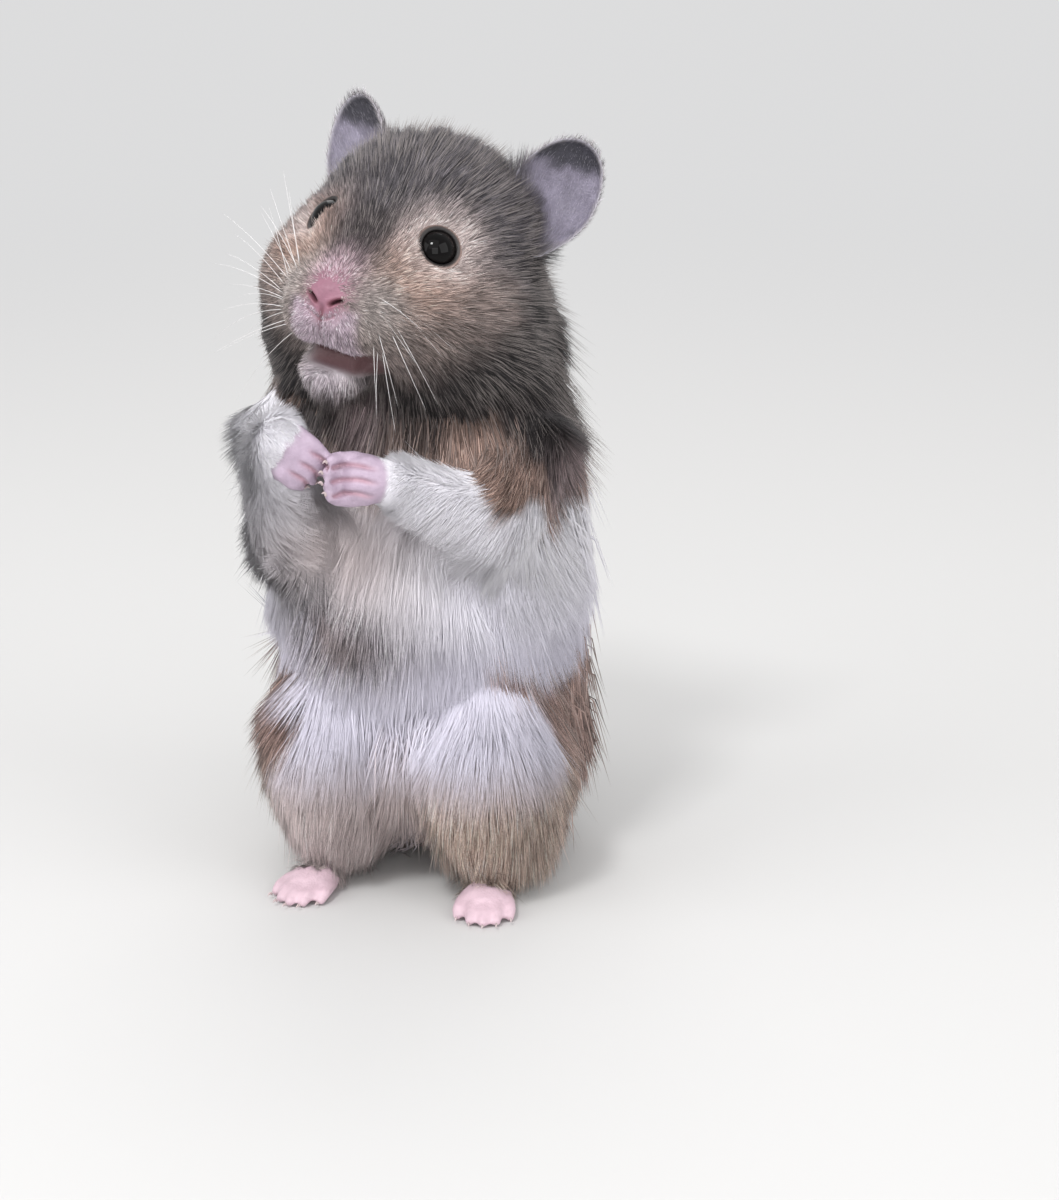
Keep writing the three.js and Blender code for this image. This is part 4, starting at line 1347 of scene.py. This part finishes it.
def scatter(chosen, count, rng):
    """Roots spread evenly by area over the chosen triangles, at (1 - r) a + r (1 - s) b + r s c."""
    corners = skin_points[skin_triangles[chosen]]
    area = np.linalg.norm(np.cross(corners[:, 1] - corners[:, 0], corners[:, 2] - corners[:, 0]), axis=1) / 2
    reach = np.cumsum(area)
    pick = np.searchsorted(reach, (np.arange(count) + rng.random(count)) / count * reach[-1])
    pick = np.minimum(pick, len(chosen) - 1)
    r, s = np.sqrt(rng.random(count)), rng.random(count)
    weight = np.stack([1 - r, r * (1 - s), r * s], -1)[:, :, None]
    triangle = chosen[pick]

    def blend(values):
        return (values * weight).sum(axis=1)

    corner = skin_triangles[triangle]
    return (blend(skin_points[corner]), unit(blend(skin_normals[corner])), blend(skin_traits[corner]),
            blend(skin_uv[triangle]), blend(skin_colours[corner]), area.sum() / MM**2)


# %% Tufts
LENGTH_PER_DEPTH, SHORTEST = 2.15, 0.45
GUARD_LENGTH, GUARD_PALE = 1.25, 0.62  # guard hairs stand out of the coat, and their ends are pale
FLOOR_GAP = 0.3 * MM
ROOT_LIFT, TIP_LIFT = math.radians(34), math.radians(9)
FLANK, FLANK_FLAT = (16 * MM, 23 * MM), 0.62  # the coat lies flatter on the right flank and shoulder
SUNK = 0.12 * MM
PATCH = 0.003
SECTION = np.array([[1, 0], [-0.5, 0.8], [-0.5, -0.8]])
# A straight tuft is a three-sided spike; a bent one has a second ring of three points, its widest.
STRAIGHT = {"triangles": np.array([[2, 1, 0], [0, 1, 3], [1, 2, 3], [2, 0, 3]]),
            "places": np.array([[0, 0], [1, 0], [0.5, 0.3], [0.5, 1]]) - 0.5}
BENT = {"triangles": np.array([[2, 1, 0], [0, 1, 4], [0, 4, 3], [1, 2, 5], [1, 5, 4], [2, 0, 3], [2, 3, 5],
                               [3, 4, 6], [4, 5, 6], [5, 3, 6]]),
        "places": np.array([[0, 0], [0.5, 0], [1, 0], [0, 0.5], [0.5, 0.5], [1, 0.5], [0.5, 1]]) - 0.5}


def lay_tufts(root, normal, of_root, area, clump, draw, steeper, guards, rng):
    """Bend and tip of each tuft. It leaves the skin at the root's lift and goes on at the tip's lift, both
    measured from the lie of the coat; the tip is then drawn towards the tip in the middle of its clump."""
    count = len(root)
    flow = flat_on(of_root[:, FLOW], normal)
    across = np.cross(normal, flow)
    stray = 0.22 * noise(root, 7, 11) + 0.16 * noise(root, 2.5, 12) + 0.11 * rng.standard_normal(count)
    flow = unit(flow + across * stray[:, None])
    guard = rng.random(count) < guards
    length = (SHORTEST + LENGTH_PER_DEPTH * of_root[:, DEPTH]) * (0.78 + 0.4 * rng.random(count)) * MM
    length *= np.where(guard, GUARD_LENGTH, 1)
    lift = steeper * (1 + 0.16 * rng.standard_normal(count) + 0.25 * noise(root, 3.5, 13)) + 0.4 * guard
    lift *= 1 - FLANK_FLAT * rise(-root[:, 0], *FLANK)
    rising, lying = (ROOT_LIFT * lift)[:, None], (TIP_LIFT * lift)[:, None]
    bend = root + 0.45 * length[:, None] * (flow * np.cos(rising) + normal * np.sin(rising))
    tip = bend + 0.55 * length[:, None] * (flow * np.cos(lying) + normal * np.sin(lying))
    centres = rng.choice(count, max(int(area / clump**2), 8), replace=False)
    chief = centres[nearest(root, root[centres])]
    pull = (draw * (0.5 + rng.random(count)) * ~guard)[:, None]
    tip += pull * (tip[chief] - root[chief] + 0.75 * (root[chief] - root) - (tip - root))
    for row in (bend, tip):
        row[:, 2] = np.maximum(row[:, 2], FLOOR_GAP)
    return bend, tip, guard


def tuft_arrays(root, normal, bend, tip, width, bent, soft):
    """Points (n, 4 or 7, 3): three round the sunken root, three round the bend if there is one, and the tip.
    The normals there lean from the tuft's own towards the skin's, so that light falls on the coat as on one
    soft body."""
    along = unit(tip - root)
    across = unit(np.cross(normal, along))
    upward = np.cross(along, across)
    ring = (across[:, None] * SECTION[:, :1] + upward[:, None] * SECTION[:, 1:]) * width[:, None, None] / 2
    sunken = (root - normal * SUNK)[:, None]
    rings = [sunken + 0.8 * ring, bend[:, None] + ring] if bent else [sunken + ring]
    own = np.concatenate([unit(ring)] * len(rings) + [upward[:, None]], axis=1)
    return np.concatenate([*rings, tip[:, None]], axis=1), unit((1 - soft) * own + soft * normal[:, None])


def tuft_colours(root, tip, guard, bent, rng):
    """Agouti: dark slate at the root, the marking's colour in the middle, and a tip that is dark on some
    hairs and pale on others. White hair is nearly even."""
    count = len(root)
    base = markings(root + 0.75 * (tip - root), forearm_share(root))
    pale = rise(base.mean(axis=1), 0.35, 0.6)[:, None]
    vary = np.exp(0.34 * rng.standard_normal(count) + 0.36 * noise(root, 1.5, 21))[:, None]
    ticked = np.where(rng.random(count) < 0.45, 0.38, 1.75)[:, None]
    base = base * (vary * (1 - pale) + pale * (1 + 0.03 * rng.standard_normal(count))[:, None])
    roots = base * (0.60 + 0.34 * pale)
    tips = base * (ticked * (1 - pale) + 1.02 * pale)
    tips = mix(tips, COLOURS["guard"], GUARD_PALE * guard * (1 - pale[:, 0]))
    rows = [roots] * 3 + [base] * 3 + [tips] if bent else [0.4 * roots + 0.6 * base] * 3 + [tips]
    return np.clip(np.stack(rows, axis=1), 0, 0.94)


def ear_fur_colours(root, tone, of_root, rng):
    """Down in the ear's own colours and paler than it; the crown's grey at the ear's foot."""
    down = tone * (0.8 + 1.0 * rng.random(len(root)) ** 2)[:, None] + 0.02
    down = mix(down, COLOURS["ear_rim"], 0.45 * (rng.random(len(root)) < 0.22))
    down = mix(down, COLOURS["guard"] * 1.2, 0.6 * of_root[:, EAR_EDGE] * rng.random(len(root)))
    colour = mix(down, COLOURS["crown"] * 1.2, 1.2 * of_root[:, EAR_FOOT])
    return np.stack([colour * 0.85] * 3 + [colour * 1.3], axis=1)


def coat_piece(name, chosen, rng):
    count, width, clump, draw, steeper, guards, bent, soft, slot = COATS[name]
    kind = BENT if bent else STRAIGHT
    root, normal, of_root, uv, tone, area = scatter(chosen, count, rng)
    bend, tip, guard = lay_tufts(root, normal, of_root, area, clump, draw, steeper, guards, rng)
    length = np.linalg.norm(tip - root, axis=1)
    widths = np.minimum(width * MM * (0.8 + 0.4 * rng.random(count)), length * 0.22)
    points, leaning = tuft_arrays(root, normal, bend, tip, widths, bent, soft)
    corners = points.shape[1]
    triangles = (kind["triangles"] + corners * np.arange(count)[:, None, None]).reshape(-1, 3)
    places = np.clip(uv, PATCH, 1 - PATCH)[:, None] + PATCH * kind["places"]
    piece = mesh_object(name, points.reshape(-1, 3), triangles, places.reshape(-1, 2)[triangles])
    piece.data.normals_split_custom_set_from_vertices(leaning.reshape(-1, 3).tolist())
    if name == "coat_ears":
        colours = ear_fur_colours(root, tone, of_root, rng)
    else:
        colours = tuft_colours(root, tip, guard, bent, rng)
    paint(piece.data, "tone", colours.reshape(-1, 3))
    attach(piece, "root")
    print(name, len(triangles), "triangles over", round(area), "mm2, mean length",
          round(length.mean() / MM, 1), "mm")
    return piece


# %% Coat material
FLECK_SCALE = 900


def coat_material():
    """Colour from the tufts, a fine change of gloss along them, and the soft sheen of dry fur."""
    dry = {"Specular IOR Level": 0.2, "Sheen Weight": 0.08, "Sheen Roughness": 0.5}
    material, tree, shader = principled("fur", dry)
    flecks = add_node(tree, "TexNoise", {"Vector": object_place(tree), "Scale": FLECK_SCALE})
    gloss = add_node(tree, "MapRange", {"Value": flecks.outputs["Fac"], "To Min": 0.5, "To Max": 0.75})
    set_inputs(tree, shader, {"Roughness": gloss.outputs["Result"], "Base Color": tone_of(tree)})
    return material


fur = coat_material()
rng = np.random.default_rng(TUFT_SEED)
region = region_of(skin_points[skin_triangles].mean(axis=1), skin_traits[skin_triangles].mean(axis=1))
region[is_ear] = "coat_ears"
region[is_lid] = ""
for name in COATS:
    coat_piece(name, np.flatnonzero(region == name), rng).data.materials.append(fur)
print("coat done")

# %% [markdown]
# ## Whiskers
# Long pale feelers stand in rows on both sides of the muzzle. Each is a thin tapering thread with a bow, and
# as no two are alike, their angles and lengths are drawn at random.

# %% Whiskers
WHISKER_SEED = 5
WHISKER_ROWS, WHISKER_SPOKES, WHISKER_RADIUS = 12, 4, 0.055
# side: how many, lowest and highest angle (degrees) above the level, shortest and longest (mm)
WHISKERS = {"left": (10, -86, -12, 7, 13), "right": (18, -38, 62, 15, 27)}


def whisker_roots(side, count, rng):
    """Numbers of the skin triangles nearest to places spread over the whisker pad, from low to high."""
    level = (np.arange(count) + rng.random(count)) / count
    pad = np.column_stack([SIDES[side] * (5.6 + 1.8 * rng.random(count)), -11.5 + 4.5 * rng.random(count),
                           -14.5 + 7.0 * level])
    centres = flesh_points[flesh_triangles].mean(axis=1)
    return nearest(from_head(pad), centres)


def whisker(root, direction, bow, length):
    """Thread along root + length (t direction + t^2 bow), t from 0 to 1, whose radius falls as 1 - 0.8 t."""
    t = np.linspace(0, 1, WHISKER_ROWS)[:, None]
    path = root + length * MM * (t * direction + t**2 * bow)
    ring = ring_round(direction, turns(WHISKER_SPOKES))
    radius = WHISKER_RADIUS * MM * (1 - 0.8 * t) * (t > 0) * (t < 1)
    return pole_grid(path[:, None] + radius[..., None] * ring)


def add_whiskers(rng):
    threads, uv = [], []
    for side, (count, lowest, highest, shortest, longest) in WHISKERS.items():
        chosen = whisker_roots(side, count, rng)
        roots = flesh_points[flesh_triangles[chosen]].mean(axis=1)
        for number in range(count):
            rise_angle = math.radians(lowest + (highest - lowest) * (number + 0.8 * rng.random()) / count)
            back = math.radians(8 + 34 * rng.random())
            direction = np.array([SIDES[side] * math.cos(rise_angle) * math.cos(back),
                                  math.cos(rise_angle) * math.sin(back), math.sin(rise_angle)]) @ HEAD_AXES
            bow = (0.10 + 0.16 * rng.random()) * DOWN + 0.08 * HEAD_AXES[1]
            length = shortest + (longest - shortest) * rng.random()
            threads.append(whisker(roots[number], direction, bow, length))
            place = np.clip(skin_uv[chosen[number]].mean(axis=0), PATCH, 1 - PATCH)
            rows = len(threads[-1][0])
            uv.append(place + PATCH * (np.column_stack([np.arange(rows) % 2, np.arange(rows) / rows]) - 0.5))
    points, triangles = joined(threads)
    piece = mesh_object("whiskers", points, triangles, np.concatenate(uv)[triangles])
    paint(piece.data, "tone", np.tile(COLOURS["whisker"], (len(points), 1)))
    piece.data.materials.append(fur)
    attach(piece, "root")
    print("whiskers", len(threads), "of", len(triangles), "triangles")


add_whiskers(np.random.default_rng(WHISKER_SEED))
